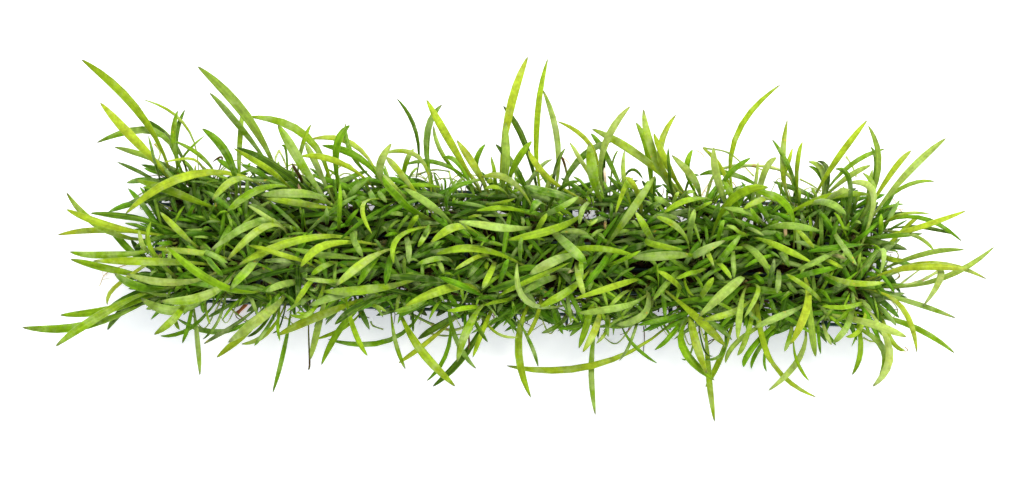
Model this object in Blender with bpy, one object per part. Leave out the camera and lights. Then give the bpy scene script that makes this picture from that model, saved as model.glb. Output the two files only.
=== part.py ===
"""Lilaeopsis brasiliensis grown as a strip of turf on a moulded plastic lattice.

The strip is a felt of roots and coir with a flat underside, a one-piece plastic lattice lying on it, a
rooted plant in every second cell of the lattice, and a few free runners and roots. Each plant is a short
crown with its leaf blades, one closed solid. Origin: middle of the felt's flat underside. X runs along the
strip, Y towards the back, Z up.
"""
import math

import bmesh
import bpy
from mathutils import Matrix, Vector
from mathutils.bvhtree import BVHTree

# Driving dimensions, millimetres
MM = 0.001
PART_NAME = "lilaeopsis_brasiliensis"
COLUMNS = 14
ROWS = 5
PITCH_X = 11.4
PITCH_Y = 5.4
LONG_BAR_WIDTH = 0.6
CROSS_BAR_WIDTH = 0.9
LATTICE_BOTTOM = 2.5
LATTICE_DEPTH = 1.2
SPRUE_LENGTH = 2.2
SPRUE_END_WIDTH = 0.5
# A grid point lies on an edge of the lattice within this, and a cell's middle within this share of a pitch
ON_EDGE = 0.01
MIDDLE_OF_CELL = 0.4
FELT_LENGTH = 155.0
FELT_WIDTH = 18.0
FELT_HEIGHT = 1.9
FELT_SWELL = 0.25
FELT_EDGE_WAVE = 0.9
# Waves of the felt, radians per millimetre: along its edges, long and short, and of its top along x and y
EDGE_WAVE_LONG = 0.31
EDGE_WAVE_SHORT = 0.83
SWELL_WAVE_X = 0.47
SWELL_WAVE_Y = 0.61
FELT_CELLS_X = 18
FELT_CELLS_Y = 3
CROWN_BOTTOM = 2.55
CROWN_TOP = 6.0
CROWN_HALF_LENGTH = 4.2
CROWN_HALF_WIDTH = 1.4
CROWN_TAPER = 0.78
CROWN_SIDES = 6
FOOT_REACH_X = 2.6
FOOT_REACH_Y = 0.4
BLADE_FOOT_HEIGHT = 5.2
BLADE_THICKNESS = 0.55
# The rows below give a blade's widest width as it was drawn, with its rims. The blade has this share of it.
BLADE_WIDTH_SHARE = 0.78
RUNNER_RADIUS = 0.4
ROOT_RADIUS = 0.25
CLEARANCE = 0.3

# The blades were drawn from above, from this point: each row below gives ground marks, where the line of
# sight through that place of the blade meets the ground.
VIEWPOINT = Vector((7.0, -213.9, 873.3))

# How a blade stands, by its place in the turf from the lowest (0) to the topmost (3): its natural length,
# the least rise of its bend above its foot, and the slope of its outer half.
STANCES = (
    {"length": 19.0, "rise": 3.2, "slope": -0.40},
    {"length": 23.0, "rise": 6.0, "slope": -0.24},
    {"length": 27.0, "rise": 9.5, "slope": -0.12},
    {"length": 31.0, "rise": 13.0, "slope": 0.02},
)

# One row for each blade: foot x, y, bend x, y, tip x, y, widest width, stance, tone (0 deep green, 1 green,
# 2 fresh green, 3 yellow-green, 4 pale with a sheen).
BLADES_LEFT_END = (
    (-76, 14, -86, 30, -99.8, 41.9, 2.6, 3, 3),
    (-72, 13, -84.7, 21.7, -94.9, 32, 2.7, 3, 3),
    (-74, 12, -81, 25.2, -95.1, 22.5, 2.2, 2, 2),
    (-74, 12, -79.5, 25, -85.7, 28.7, 1.7, 1, 0),
    (-76, 13, -77.3, 21.5, -75.7, 31.1, 1.6, 1, 0),
    (-76.5, 14, -78, 24.5, -77.3, 30.8, 1.6, 2, 2),
    (-74, 14, -84, 19.9, -91, 21.7, 1.8, 1, 4),
    (-62.5, 13, -66.1, 21.6, -71.7, 26.8, 2.4, 3, 1),
    (-76, 5, -93, 3.2, -101.1, 11, 2.0, 2, 2),
    (-75, -1, -92.5, 4, -100.8, 7, 2.2, 3, 3),
    (-78, -3, -87, -0.9, -92.1, 4.3, 2.0, 1, 1),
    (-77, 6, -92, 2.6, -102.4, 1, 1.9, 1, 3),
    (-75, 7, -87, 5.8, -95.4, 6.3, 2.0, 2, 0),
    (-56, 12, -72, 16.5, -87.7, 6.3, 2.8, 3, 3),
    (-62, 6, -74.5, 11, -86, 14.4, 2.4, 2, 2),
    (-75, 10, -82, 10.5, -87.1, 9.1, 1.9, 0, 0),
    (-79, -4, -82, 0, -81.7, 5, 1.5, 2, 3),
    (-79, -2, -91, -3.2, -99.5, -2.7, 2.2, 2, 2),
    (-80, -5.5, -90.4, -6.2, -99.2, -4.4, 2.2, 1, 2),
    (-65, -8, -79.5, -4.2, -94.2, -4.6, 2.6, 3, 3),
    (-79, -7, -90.5, -15.6, -100.7, -17.2, 2.2, 1, 2),
    (-79, -10.5, -95, -19.3, -108.9, -20.3, 2.5, 1, 2),
    (-79.5, -5, -91.5, -16.5, -101.2, -24.4, 2.7, 2, 2),
    (-80, -11.5, -86.8, -15.5, -89.9, -20.2, 2.0, 0, 0),
    (-84, -5, -88.5, -10, -90.3, -14.5, 1.4, 1, 3),
    (-76, -10.5, -84, -10, -89.2, -7.2, 2.4, 1, 1),
    (-68, -12, -77.4, -9.3, -86.6, -7.9, 2.3, 1, 4),
    (-60, -8.5, -70, -12, -78.7, -13.2, 2.8, 3, 3),
    (-67, -14, -75.5, -15.2, -83, -12.6, 2.8, 2, 4),
    (-70, -13, -75.4, -17.1, -79.6, -20.8, 2.2, 1, 2),
    (-67, -14, -72.5, -19.5, -78.2, -21, 1.3, 0, 1),
    (-72, -13, -69.9, -21.5, -68.9, -29.7, 1.5, 0, 2),
    (-53, -8, -68, -8, -78.1, -0.5, 2.4, 3, 2),
    (-63, -7, -71, -1.8, -81, -1.3, 1.8, 2, 3),
    (-52, -13, -62, -19, -75, -16.8, 1.6, 0, 1),
    (-61, -11, -63.5, -19, -68.5, -22.5, 1.4, 0, 0),
)
BLADES_BACK_LEFT = (
    (-46, 12.5, -60.8, 28.6, -73.6, 41.3, 3.0, 3, 4),
    (-57, 13, -64, 28.5, -70.5, 35.2, 1.9, 2, 2),
    (-53, 14, -62, 29.5, -67.3, 36.4, 1.5, 1, 0),
    (-62, 12, -63.1, 24, -62.6, 32.1, 1.6, 2, 2),
    (-38, 14, -49.5, 26.8, -61.5, 29.9, 2.5, 2, 2),
    (-45, 12, -50.1, 21.3, -54.8, 28.4, 2.8, 3, 2),
    (-50, 14, -49, 24, -47.3, 28.7, 1.3, 1, 2),
    (-27, 14, -39, 25, -47.5, 25.2, 1.8, 1, 3),
    (-44, 12, -41.3, 24, -38.6, 28.8, 2.2, 2, 1),
    (-36, 13, -38.5, 23.5, -39.6, 29.2, 1.4, 1, 1),
    (-35, 11, -31.5, 19.5, -29.1, 25, 2.3, 3, 4),
    (-32, 14, -42.2, 20.8, -49.3, 21.2, 2.0, 2, 3),
    (-44, 13, -46.2, 20.2, -48.3, 24.4, 1.9, 1, 4),
    (-27, 14, -36, 21.2, -44.7, 23.9, 2.2, 1, 1),
    (-48, 11.5, -57, 18.3, -64.4, 22.5, 1.7, 3, 3),
    (-44, 13, -54.5, 18.5, -63.7, 22.7, 2.2, 2, 0),
    (-46, 7.5, -57, 6.2, -68.5, -1.5, 2.3, 3, 4),
    (-46, 7, -57.5, 4, -64.5, -3.5, 2.2, 3, 3),
    (-37, 5, -50.5, 1.5, -62, -4.5, 2.5, 3, 3),
    (-36, 14, -35, 9.5, -32.4, 3.8, 1.4, 3, 3),
)
BLADES_FRONT_LEFT = (
    (-48.5, -10, -56, -16, -63.2, -22, 3.0, 2, 4),
    (-51, -14, -59.7, -19.8, -65.5, -25.5, 2.1, 1, 3),
    (-50, -14, -55.5, -20.3, -60.2, -22.2, 1.4, 0, 3),
    (-33, -10.5, -43, -15, -52.5, -20, 2.6, 2, 3),
    (-41, -13, -46, -15, -50, -15, 1.4, 1, 3),
    (-50.5, -12, -50.5, -22, -52.7, -33, 1.4, 0, 1),
    (-42, -11, -43.5, -18, -44.8, -25.2, 2.0, 1, 4),
    (-36, -11, -38.8, -18.3, -42.3, -26.3, 1.9, 1, 2),
    (-38, -11, -35.3, -18.5, -32.2, -23.8, 1.6, 1, 2),
    (-16, -13.5, -26, -19.2, -41.3, -20.3, 1.7, 0, 1),
    (-29, -10.5, -35.5, -13.2, -39.8, -17, 2.3, 2, 0),
    (-20, -9, -33.5, -8.9, -43, -9.5, 2.7, 3, 3),
    (-28.5, 2, -34.5, -3, -40, -8.2, 2.5, 3, 3),
    (-37, 3, -43.5, 0.6, -48, -4.3, 2.4, 3, 3),
    (-25, 8, -27.2, 2.5, -27.3, -2.8, 1.7, 3, 3),
)
BLADES_BACK_MIDDLE = (
    (-9, 11, -16.8, 27, -21.8, 35.5, 2.4, 3, 3),
    (-24, 14, -21.3, 27.5, -18.2, 34.4, 2.0, 2, 1),
    (-14, 13, -18, 23.5, -19.9, 29.5, 1.3, 1, 2),
    (-5, 13, -10.8, 21, -14.6, 26.3, 2.3, 2, 3),
    (-12, 14, -10, 21.7, -8.1, 25.6, 1.5, 1, 1),
    (-4, 13, -2.9, 34.5, 0.6, 46.4, 2.5, 3, 3),
    (-3.5, 12, -3.5, 22, -3.8, 30.8, 2.4, 2, 4),
    (2.5, 12, 3.1, 31, 5.1, 46.2, 1.8, 3, 3),
    (7, 12, 7.9, 27, 4.1, 38.9, 1.8, 2, 4),
    (-1, 14, 0, 27.5, -4.6, 34.7, 1.8, 2, 0),
    (4, 14, -1.5, 20.5, -5.9, 25.7, 2.0, 2, 0),
    (-3, 13, -0.8, 22.4, 2.2, 26.7, 2.0, 3, 2),
    (7.5, 14, 4.5, 20, 1.5, 24.5, 1.9, 2, 3),
    (0, 14, 3.3, 19.5, 7, 22.6, 1.3, 2, 0),
    (17, 13, 13.5, 22.5, 10.6, 26.7, 1.3, 2, 3),
    (20.5, 14, 14.5, 27.3, 7.6, 31.5, 1.4, 2, 3),
    (6.5, 14, 13.5, 23.5, 20.7, 27.6, 2.0, 2, 0),
    (-15, 14, -24, 22.6, -31.6, 22.3, 1.4, 2, 3),
    (-10, 14, -19, 21, -26.4, 20, 1.4, 1, 1),
    (-9.5, 13, -14, 20.8, -17.5, 22, 1.5, 1, 1),
    (-23, 12, -27.4, 18.8, -30.1, 21.7, 1.9, 2, 3),
    (-24, 8, -27.5, 12.8, -31, 17.5, 2.2, 2, 1),
    (-19, 13, -15, 15.1, -10.2, 16.7, 1.9, 1, 1),
    (5, 14.5, -3, 17.9, -8.8, 17.9, 1.9, 2, 3),
    (10, 10.5, 5.5, 15.2, 0.9, 16.2, 2.6, 2, 1),
    (6, 6, -4.5, 6.6, -13.7, 7.6, 2.5, 3, 4),
    (-9, 11, -14, 6.3, -19.5, 2.3, 2.5, 3, 3),
)
BLADES_FRONT_MIDDLE = (
    (0.5, 1.2, -10, 1.4, -18.2, -0.2, 2.4, 3, 3),
    (16, 12, 7, 6.3, -2.5, 3.7, 2.4, 3, 3),
    (-4.5, -4.5, -15.5, -7.8, -24.7, -12.4, 2.7, 3, 3),
    (-9, -14, 0.5, -6.6, 11.8, -0.8, 1.5, 3, 3),
    (-7, -9, -10.5, -17, -12.4, -24.5, 2.4, 2, 2),
    (-9, -13.5, -11.3, -23.5, -17.6, -30.2, 2.1, 1, 0),
    (-25, -12, -20.5, -22, -12.5, -30, 2.5, 2, 3),
    (-15, -12, -14.8, -22.5, -19, -29, 1.3, 0, 1),
    (-15.5, -11.5, -12.5, -20, -8.1, -25.8, 1.5, 1, 1),
    (-14.5, -14, -20.2, -21, -25.3, -25.2, 1.5, 0, 3),
    (-28, -13, -26, -21, -23.7, -26.5, 1.3, 0, 2),
    (-5.5, -12, -7.5, -18.5, -9, -23.3, 1.5, 0, 3),
    (-2, -11.5, 1, -21, 4.2, -31.9, 2.2, 1, 3),
    (40, -10.5, 15, -24.7, -1.6, -24.8, 2.1, 1, 3),
    (20, -14, 14, -15.3, 9.5, -16, 1.4, 0, 1),
    (8.2, -12, 1.6, -9.2, 0, -1.3, 1.8, 3, 4),
    (13.5, 3, 8, -0.7, 2.8, -4, 2.8, 3, 4),
    (-11, -11.5, -17, -16.5, -21.3, -19.6, 2.0, 0, 0),
)
BLADES_BACK_RIGHT = (
    (20.5, 13, 19, 28, 24, 35.7, 2.1, 3, 4),
    (37, 14, 27, 23.7, 15.4, 30.1, 2.6, 2, 3),
    (20.3, 14, 18.6, 24.5, 15.3, 29, 1.7, 1, 1),
    (18.5, 11, 16, 20, 15, 26.8, 3.0, 3, 2),
    (25, 11, 23, 19, 23, 25.4, 1.3, 2, 3),
    (32, 14, 29.2, 25, 26.9, 35.2, 2.4, 3, 3),
    (31, 14, 28, 26, 25.3, 31.9, 2.1, 2, 2),
    (36, 14, 30.9, 25.5, 34.3, 34.2, 1.9, 3, 3),
    (36, 15, 32, 23.5, 29.4, 29.6, 2.0, 2, 3),
    (44, 14, 38, 20, 33.5, 24.7, 2.2, 2, 4),
    (36, 14, 37, 22, 38.2, 26.1, 1.7, 2, 2),
    (45, 11.5, 43.7, 20, 42.9, 26.9, 2.3, 3, 4),
    (48, 14, 44.5, 22.3, 40.3, 26.6, 1.3, 2, 3),
    (46, 13, 47.8, 29.5, 57.6, 42.1, 1.7, 3, 3),
    (43, 14, 47, 21.3, 51.2, 24.7, 1.6, 2, 1),
    (52.5, 14.5, 46, 21, 39.8, 20.2, 1.8, 1, 1),
    (19, 5, 25, 11.5, 30, 19.8, 2.3, 3, 2),
    (42.5, 10.5, 48.5, 16, 55.3, 18, 2.6, 3, 2),
    (40, 2, 35, 8.3, 30.2, 10.4, 1.9, 3, 3),
)
BLADES_FRONT_RIGHT = (
    (17, -12, 17.2, -23, 18.5, -35.3, 1.7, 1, 2),
    (20, -10, 17.8, -15.8, 15.2, -21.2, 2.1, 2, 3),
    (18, -9.5, 15.8, -15, 14.3, -20.4, 2.1, 1, 2),
    (35, -12, 37.8, -20.2, 44.5, -26.4, 2.4, 2, 2),
    (48.5, -13.5, 45.5, -21.5, 42.5, -28, 1.7, 0, 3),
    (38, -10.5, 43, -24, 44.7, -35.8, 1.8, 1, 3),
    (37, -8, 39.8, -17, 42.7, -25, 2.5, 2, 3),
    (36, -6, 41.5, -13.5, 46.6, -18.5, 2.5, 2, 3),
    (54, 2.5, 47.5, -5, 40.5, -12.2, 2.8, 3, 4),
    (50, -3, 49.6, -10.9, 49.3, -17.2, 1.9, 3, 4),
    (51.5, -1.5, 53.2, -7, 50.5, -12.2, 1.5, 3, 3),
    (51, -12.5, 48.6, -18.3, 46.8, -22.4, 1.6, 1, 4),
    (54, -13, 52, -19.5, 50.8, -23.2, 1.9, 1, 1),
    (55.5, -13, 53.6, -19.5, 52.5, -23.5, 1.4, 0, 1),
    (31.5, -7, 22, -5.8, 12.8, -9.2, 1.9, 3, 3),
    (34, -0.5, 40.5, 2.6, 46, 5.5, 2.3, 3, 4),
    (39.5, 8, 41.7, 3, 43.7, -0.8, 1.5, 3, 3),
    (22.5, 7, 30, 4, 36.8, 3, 1.9, 3, 3),
    (8, 5.8, 12.2, 2, 15.4, -1, 2.9, 3, 2),
    (33, -12, 27.5, -13, 22.2, -14.6, 2.2, 0, 4),
)
BLADES_RIGHT_END = (
    (56, 13.5, 58.3, 23.7, 59.2, 34, 1.7, 3, 3),
    (63, 14, 59.5, 23.5, 55.8, 29.2, 1.4, 2, 1),
    (59.5, 14, 61.6, 24, 62.7, 28.9, 1.4, 2, 3),
    (64, 13, 71.3, 26.5, 77.1, 34.5, 1.9, 3, 3),
    (79.5, 11.5, 79.8, 25, 77.2, 33.3, 1.7, 3, 4),
    (79.5, 14, 79.2, 23.5, 77.9, 28.3, 1.4, 1, 0),
    (68, 14, 74.5, 24.7, 81.1, 27.9, 1.5, 2, 2),
    (79, 14, 83.2, 23.2, 87, 27.8, 1.8, 2, 3),
    (78.5, 12, 87, 23.5, 94.8, 31, 2.1, 3, 4),
    (79, 14, 86, 19.6, 92.3, 20.8, 1.3, 1, 2),
    (77, 6.5, 89, 10.1, 99.5, 14.4, 1.8, 3, 3),
    (79, 11.5, 89.5, 12.3, 98.6, 7.2, 1.5, 2, 1),
    (82, 7, 86.5, 10.5, 89.2, 12.7, 1.3, 1, 3),
    (76, 5.5, 83.5, 8, 89.9, 8.7, 1.4, 1, 1),
    (68, 14, 73.5, 21.5, 78, 24, 1.7, 1, 4),
    (70.5, 14, 67.7, 21.2, 64, 24.3, 1.9, 2, 4),
    (70.5, 14, 68.5, 21.5, 66, 24.5, 1.5, 1, 0),
    (69.5, 14, 69, 21.5, 68, 25.8, 1.3, 2, 3),
    (83, 11.5, 78.5, 18, 73, 19.7, 2.1, 3, 4),
    (81.5, 13, 78.7, 18.7, 76.1, 22.2, 1.7, 1, 2),
    (58.5, 14, 69, 16.5, 78.2, 17.2, 2.1, 2, 2),
    (76.5, 14, 73, 21.3, 70, 22.8, 1.7, 1, 1),
    (65, 10.5, 58.5, 15, 52, 16.8, 2.3, 2, 2),
    (52, 9, 60, 9.4, 67, 8.5, 2.1, 3, 4),
    (49.5, 6, 58, 4.5, 65.3, 1.2, 1.9, 3, 3),
    (79, 10, 81.2, 4.5, 80.5, -1, 1.6, 3, 4),
    (77, 2, 88.5, 3.6, 99.2, 5.4, 1.6, 1, 4),
    (79, -5, 95.5, -0.8, 105.8, 6.4, 1.7, 2, 4),
    (76, -3.5, 88.5, 1, 100.4, 0.8, 2.0, 3, 3),
    (81, -1, 94, 2, 104.2, -1.2, 1.5, 2, 3),
    (82, -1, 94, 0.5, 90, -8, 2.0, 3, 4),
    (77, -8, 87.5, -7, 97.5, -10.3, 1.6, 2, 2),
    (77, -10, 88, -12.6, 97.3, -18.3, 1.7, 1, 2),
    (79, -0.5, 86.3, -9.5, 88.9, -18.5, 1.6, 2, 3),
    (70.5, -11, 79.5, -12.5, 86.6, -15, 2.3, 2, 4),
    (79, -11, 82.9, -19.5, 79.2, -26.5, 2.3, 2, 4),
    (77, -10, 81.3, -17.5, 80.7, -23.8, 2.0, 1, 2),
    (77, -10.5, 76.5, -18, 74.7, -24, 1.6, 1, 2),
    (64, -5, 65.6, -14, 66.6, -20.2, 2.0, 2, 4),
    (66, -1, 64.3, -9.8, 60.9, -17.7, 2.4, 3, 3),
    (63, -10, 62.8, -21, 56.3, -28.3, 1.8, 1, 4),
    (53, -14, 58.5, -23.8, 67, -29.3, 1.4, 0, 3),
    (53.5, -13.5, 55.5, -19, 57.6, -22.3, 1.9, 1, 3),
    (67, -5, 74.5, -3.2, 81.8, -2.7, 1.8, 3, 3),
)
BLADES = (
    BLADES_LEFT_END
    + BLADES_BACK_LEFT
    + BLADES_FRONT_LEFT
    + BLADES_BACK_MIDDLE
    + BLADES_FRONT_MIDDLE
    + BLADES_BACK_RIGHT
    + BLADES_FRONT_RIGHT
    + BLADES_RIGHT_END
)

# The tones' colours, sRGB, for the material of a plant: the mean of its blades'.
TONE_COLOURS = ("2F5A14", "4A7D1C", "6FA022", "96BE30", "9DB868")
LATTICE_COLOUR = "12393A"
FELT_COLOUR = "3A2A1B"
RUNNER_COLOUR = "8DAA4A"
ROOT_COLOUR = "CDB88A"
DEAD_STEM_COLOUR = "A2572A"
BLADE_ROUGHNESS = 0.45
STRAND_ROUGHNESS = 0.6
LATTICE_ROUGHNESS = 0.45
FELT_ROUGHNESS = 0.95

# Runners from crown to crown and roots out of the felt, each a list of points x, y, z along its middle.
RUNNERS = {
    "runner_back": (
        (41.0, 12.9, 4.8), (43.5, 19.0, 8.5), (51.5, 20.5, 9.0), (59.0, 19.0, 8.0), (61.7, 12.9, 4.8),
    ),
    "runner_right": ((78.7, -5.2, 4.8), (82.0, -5.0, 5.6), (88.0, -3.6, 4.2), (93.0, -0.6, 3.0)),
    "runner_front": (
        (-27.1, -12.9, 4.8), (-22.0, -15.6, 5.2), (-14.0, -17.8, 2.4), (-8.0, -15.6, 5.0), (-6.9, -12.9, 4.8),
    ),
}
ROOTS = {
    "root_left": ((-78.1, -3.2, 1.1), (-84.0, -4.6, 1.2), (-90.6, -7.2, 0.6), (-92.3, -10.4, 0.4)),
    "root_back": ((39.2, 10.2, 1.1), (40.2, 14.8, 1.2), (42.8, 19.4, 0.6), (46.0, 21.8, 0.4)),
    "root_right": ((78.1, 6.2, 1.1), (81.2, 10.6, 1.2), (84.0, 14.0, 0.6), (85.6, 12.6, 0.4)),
}
DEAD_STEM = ((-56.8, -10.4, 1.1), (-61.4, -15.4, 0.7))
DEAD_STEM_RADIUS = 0.5

# How a blade is moved until it clears the blades already laid: its bend and tip up or down the lines of
# sight, and its tip aside.
HEIGHT_CHANGES = (0.0, 0.8, -0.8, 1.6, -1.6, 2.4, -2.4, 3.4, -3.4, 4.6, 6.0, 7.6, -4.6, 9.4)
TURNS = (0.0, 0.7, -0.7, 1.4, -1.4)
LOWEST_TIP = 0.8
# How far off a crown seems for each blade it carries already, and where its blades part from one another
CROWDING = 1.3
OUTER_START = 0.14
# Where along a blade it lies level across, and the least and most share of its length at its bend
LEVEL_AT = 0.65
LEAST_BEND = 0.38
MOST_BEND = 0.64


def clear_scene():
    for old in list(bpy.data.objects):
        bpy.data.objects.remove(old, do_unlink=True)


def linear(hex_colour):
    """An sRGB hex colour as Blender's linear RGBA."""
    channels = [int(hex_colour[i:i + 2], 16) / 255 for i in (0, 2, 4)]
    return [c / 12.92 if c <= 0.04045 else ((c + 0.055) / 1.055) ** 2.4 for c in channels] + [1.0]


def mean_colour(hex_colours):
    colours = [linear(colour) for colour in hex_colours]
    return [sum(channel) / len(colours) for channel in zip(*colours)]


def add_material(piece, name, colour, roughness):
    material = bpy.data.materials.new(name)
    material.use_nodes = True
    shader = material.node_tree.nodes["Principled BSDF"]
    shader.inputs["Base Color"].default_value = colour
    shader.inputs["Roughness"].default_value = roughness
    shader.inputs["Metallic"].default_value = 0.0
    material.diffuse_color = colour
    piece.data.materials.append(material)


def add_object(bm, name, collection):
    """Turns a bmesh in millimetres into an object in metres with its faces pointing out."""
    bmesh.ops.scale(bm, vec=(MM, MM, MM), verts=bm.verts)
    bmesh.ops.recalc_face_normals(bm, faces=bm.faces)
    mesh = bpy.data.meshes.new(name)
    bm.to_mesh(mesh)
    bm.free()
    piece = bpy.data.objects.new(name, mesh)
    collection.objects.link(piece)
    return piece


def smoothed(points, count):
    """Evenly numbered points on the smooth curve that runs through the given ones."""
    places = [Vector(p) for p in points]
    places = [2 * places[0] - places[1]] + places + [2 * places[-1] - places[-2]]
    result = []
    for i in range(count):
        along = i / (count - 1) * (len(places) - 3)
        k = min(int(along), len(places) - 4)
        t = along - k
        a, b, c, d = places[k:k + 4]
        bowed = (3 * b - a - 3 * c + d) * t ** 3 + (2 * a - 5 * b + 4 * c - d) * t ** 2
        result.append((bowed + (c - a) * t) / 2 + b)
    return result


def add_strand(name, points, radius, colour, collection):
    """A runner or a root: a thin round strand with closed ends."""
    curve = bpy.data.curves.new(name, "CURVE")
    curve.dimensions = "3D"
    curve.bevel_depth = radius * MM
    curve.bevel_resolution = 1
    curve.use_fill_caps = True
    route = smoothed(points, 2 * len(points) - 1)
    spline = curve.splines.new("POLY")
    spline.points.add(len(route) - 1)
    for point, place in zip(spline.points, route):
        point.co = (place.x * MM, place.y * MM, place.z * MM, 1.0)
    strand = bpy.data.objects.new(name, curve)
    collection.objects.link(strand)
    add_material(strand, name, linear(colour), STRAND_ROUGHNESS)


def strand_body(points, radius):
    """A runner's room: a straight rod from each of its points to the next."""
    bm = bmesh.new()
    route = smoothed(points, 2 * len(points) - 1)
    for start, end in zip(route, route[1:]):
        turned = (end - start).to_track_quat("Z", "Y").to_matrix().to_4x4()
        bmesh.ops.create_cone(
            bm, cap_ends=True, segments=6, radius1=radius, radius2=radius, depth=(end - start).length,
            matrix=Matrix.Translation((start + end) / 2) @ turned,
        )
    return bm


def felt_edge(x):
    """Half width of the felt at x: its edge is torn in long shallow waves."""
    wave = 0.6 * math.sin(EDGE_WAVE_LONG * x) + 0.4 * math.sin(EDGE_WAVE_SHORT * x + 1.0)
    return FELT_WIDTH / 2 + FELT_EDGE_WAVE * wave


def add_felt(collection):
    """The felt: a flat-bottomed slab whose top swells and whose edge waves."""
    bm = bmesh.new()
    bmesh.ops.create_grid(bm, x_segments=FELT_CELLS_X, y_segments=FELT_CELLS_Y, size=0.5)
    for vert in bm.verts:
        x = vert.co.x * FELT_LENGTH
        vert.co = Vector((x, vert.co.y * 2 * felt_edge(x), 0.0))
    bottom = bm.faces[:]
    raised = bmesh.ops.extrude_face_region(bm, geom=bottom, use_keep_orig=True)["geom"]
    for vert in [part for part in raised if isinstance(part, bmesh.types.BMVert)]:
        swell = math.sin(SWELL_WAVE_X * vert.co.x) * math.cos(SWELL_WAVE_Y * vert.co.y)
        vert.co.z = FELT_HEIGHT + FELT_SWELL * swell
    bmesh.ops.dissolve_faces(bm, faces=bottom)
    felt = add_object(bm, "fibre_felt", collection)
    add_material(felt, "fibre_felt", linear(FELT_COLOUR), FELT_ROUGHNESS)


def bar_edges(count, pitch, width):
    """Both edges of each bar across one direction of the lattice."""
    middles = [(i - count / 2) * pitch for i in range(count + 1)]
    return [middle + side * width / 2 for middle in middles for side in (-1, 1)]


def add_lattice(collection):
    """The lattice: a grid laid on the edges of the bars, its cells taken out, drawn up to its depth."""
    x_edges = bar_edges(COLUMNS, PITCH_X, CROSS_BAR_WIDTH)
    y_edges = bar_edges(ROWS, PITCH_Y, LONG_BAR_WIDTH)
    x_steps = len(x_edges) - 1
    y_steps = len(y_edges) - 1
    bm = bmesh.new()
    bmesh.ops.create_grid(bm, x_segments=x_steps, y_segments=y_steps, size=0.5)
    for vert in bm.verts:
        i = round((vert.co.x + 0.5) * x_steps)
        j = round((vert.co.y + 0.5) * y_steps)
        vert.co = Vector((x_edges[i], y_edges[j], LATTICE_BOTTOM))
    cells = [
        face for face in bm.faces
        if abs((face.calc_center_median().x / PITCH_X + COLUMNS / 2) % 1 - 0.5) < MIDDLE_OF_CELL
        and abs((face.calc_center_median().y / PITCH_Y + ROWS / 2) % 1 - 0.5) < MIDDLE_OF_CELL
    ]
    bmesh.ops.delete(bm, geom=cells, context="FACES")
    # The short sprues in front, one from the end of each cross bar
    front = min(y_edges)
    ends = [
        edge for edge in bm.edges
        if all(abs(vert.co.y - front) < ON_EDGE for vert in edge.verts)
        and edge.calc_length() < CROSS_BAR_WIDTH + ON_EDGE
    ]
    for edge in ends:
        middle = (edge.verts[0].co.x + edge.verts[1].co.x) / 2
        drawn = bmesh.ops.extrude_edge_only(bm, edges=[edge])["geom"]
        for vert in [part for part in drawn if isinstance(part, bmesh.types.BMVert)]:
            side = 1 if vert.co.x > middle else -1
            vert.co.x = middle + side * SPRUE_END_WIDTH / 2
            vert.co.y -= SPRUE_LENGTH
    # Grid points along the straight outer edges at the back and both ends aren't needed
    needless = [
        vert for vert in bm.verts
        if (vert.co.y > y_edges[-1] - ON_EDGE and abs(vert.co.x) < x_edges[-2] - ON_EDGE)
        or (abs(vert.co.x) > x_edges[-1] - ON_EDGE and abs(vert.co.y) < y_edges[-2] - ON_EDGE)
    ]
    bmesh.ops.dissolve_verts(bm, verts=needless)
    raised = bmesh.ops.extrude_face_region(bm, geom=bm.faces[:], use_keep_orig=True)["geom"]
    tops = [part for part in raised if isinstance(part, bmesh.types.BMVert)]
    bmesh.ops.translate(bm, vec=(0.0, 0.0, LATTICE_DEPTH), verts=tops)
    lattice = add_object(bm, "lattice", collection)
    add_material(lattice, "lattice", linear(LATTICE_COLOUR), LATTICE_ROUGHNESS)


def sight(x, y, z):
    """The place at height z that is seen over the ground mark x, y."""
    ground = Vector((x, y, 0.0))
    return ground.lerp(VIEWPOINT, z / VIEWPOINT.z)


def ground_mark(place):
    """The ground mark that a place is seen over."""
    return VIEWPOINT + (place - VIEWPOINT) * VIEWPOINT.z / (VIEWPOINT.z - place.z)


def crown_places():
    """A plant's name and place for every second cell, a to e from the front and 1 to 14 from the left."""
    return {
        f"plant_{'abcde'[row]}{column + 1:02d}": Vector(
            ((column - (COLUMNS - 1) / 2) * PITCH_X, (row - (ROWS - 1) / 2) * PITCH_Y, BLADE_FOOT_HEIGHT)
        )
        for column in range(COLUMNS)
        for row in range(ROWS)
        if (column + row) % 2 == 0
    }


def share_out(blades, crowns):
    """Gives each blade to the nearest crown, with some shyness of crowns that carry many already."""
    shares = {name: [] for name in crowns}
    for blade in blades:
        foot = Vector((blade[0], blade[1], 0.0))
        shyness = {
            name: (ground_mark(place) - foot).length + CROWDING * len(shares[name])
            for name, place in crowns.items()
        }
        shares[min(crowns, key=lambda name: shyness[name])].append(blade)
    return shares


def blade_feet(crown, blades):
    """Where each blade springs from its crown: in the order of their tips, in a front and a back rank."""
    feet = {}
    for number, blade in enumerate(sorted(blades, key=lambda blade: blade[4])):
        aside = FOOT_REACH_X * (2 * (number + 0.5) / len(blades) - 1)
        rank = FOOT_REACH_Y if blade[5] > ground_mark(crown).y else -FOOT_REACH_Y
        feet[blade] = crown + Vector((aside, rank, 0.0))
    return feet


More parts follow.
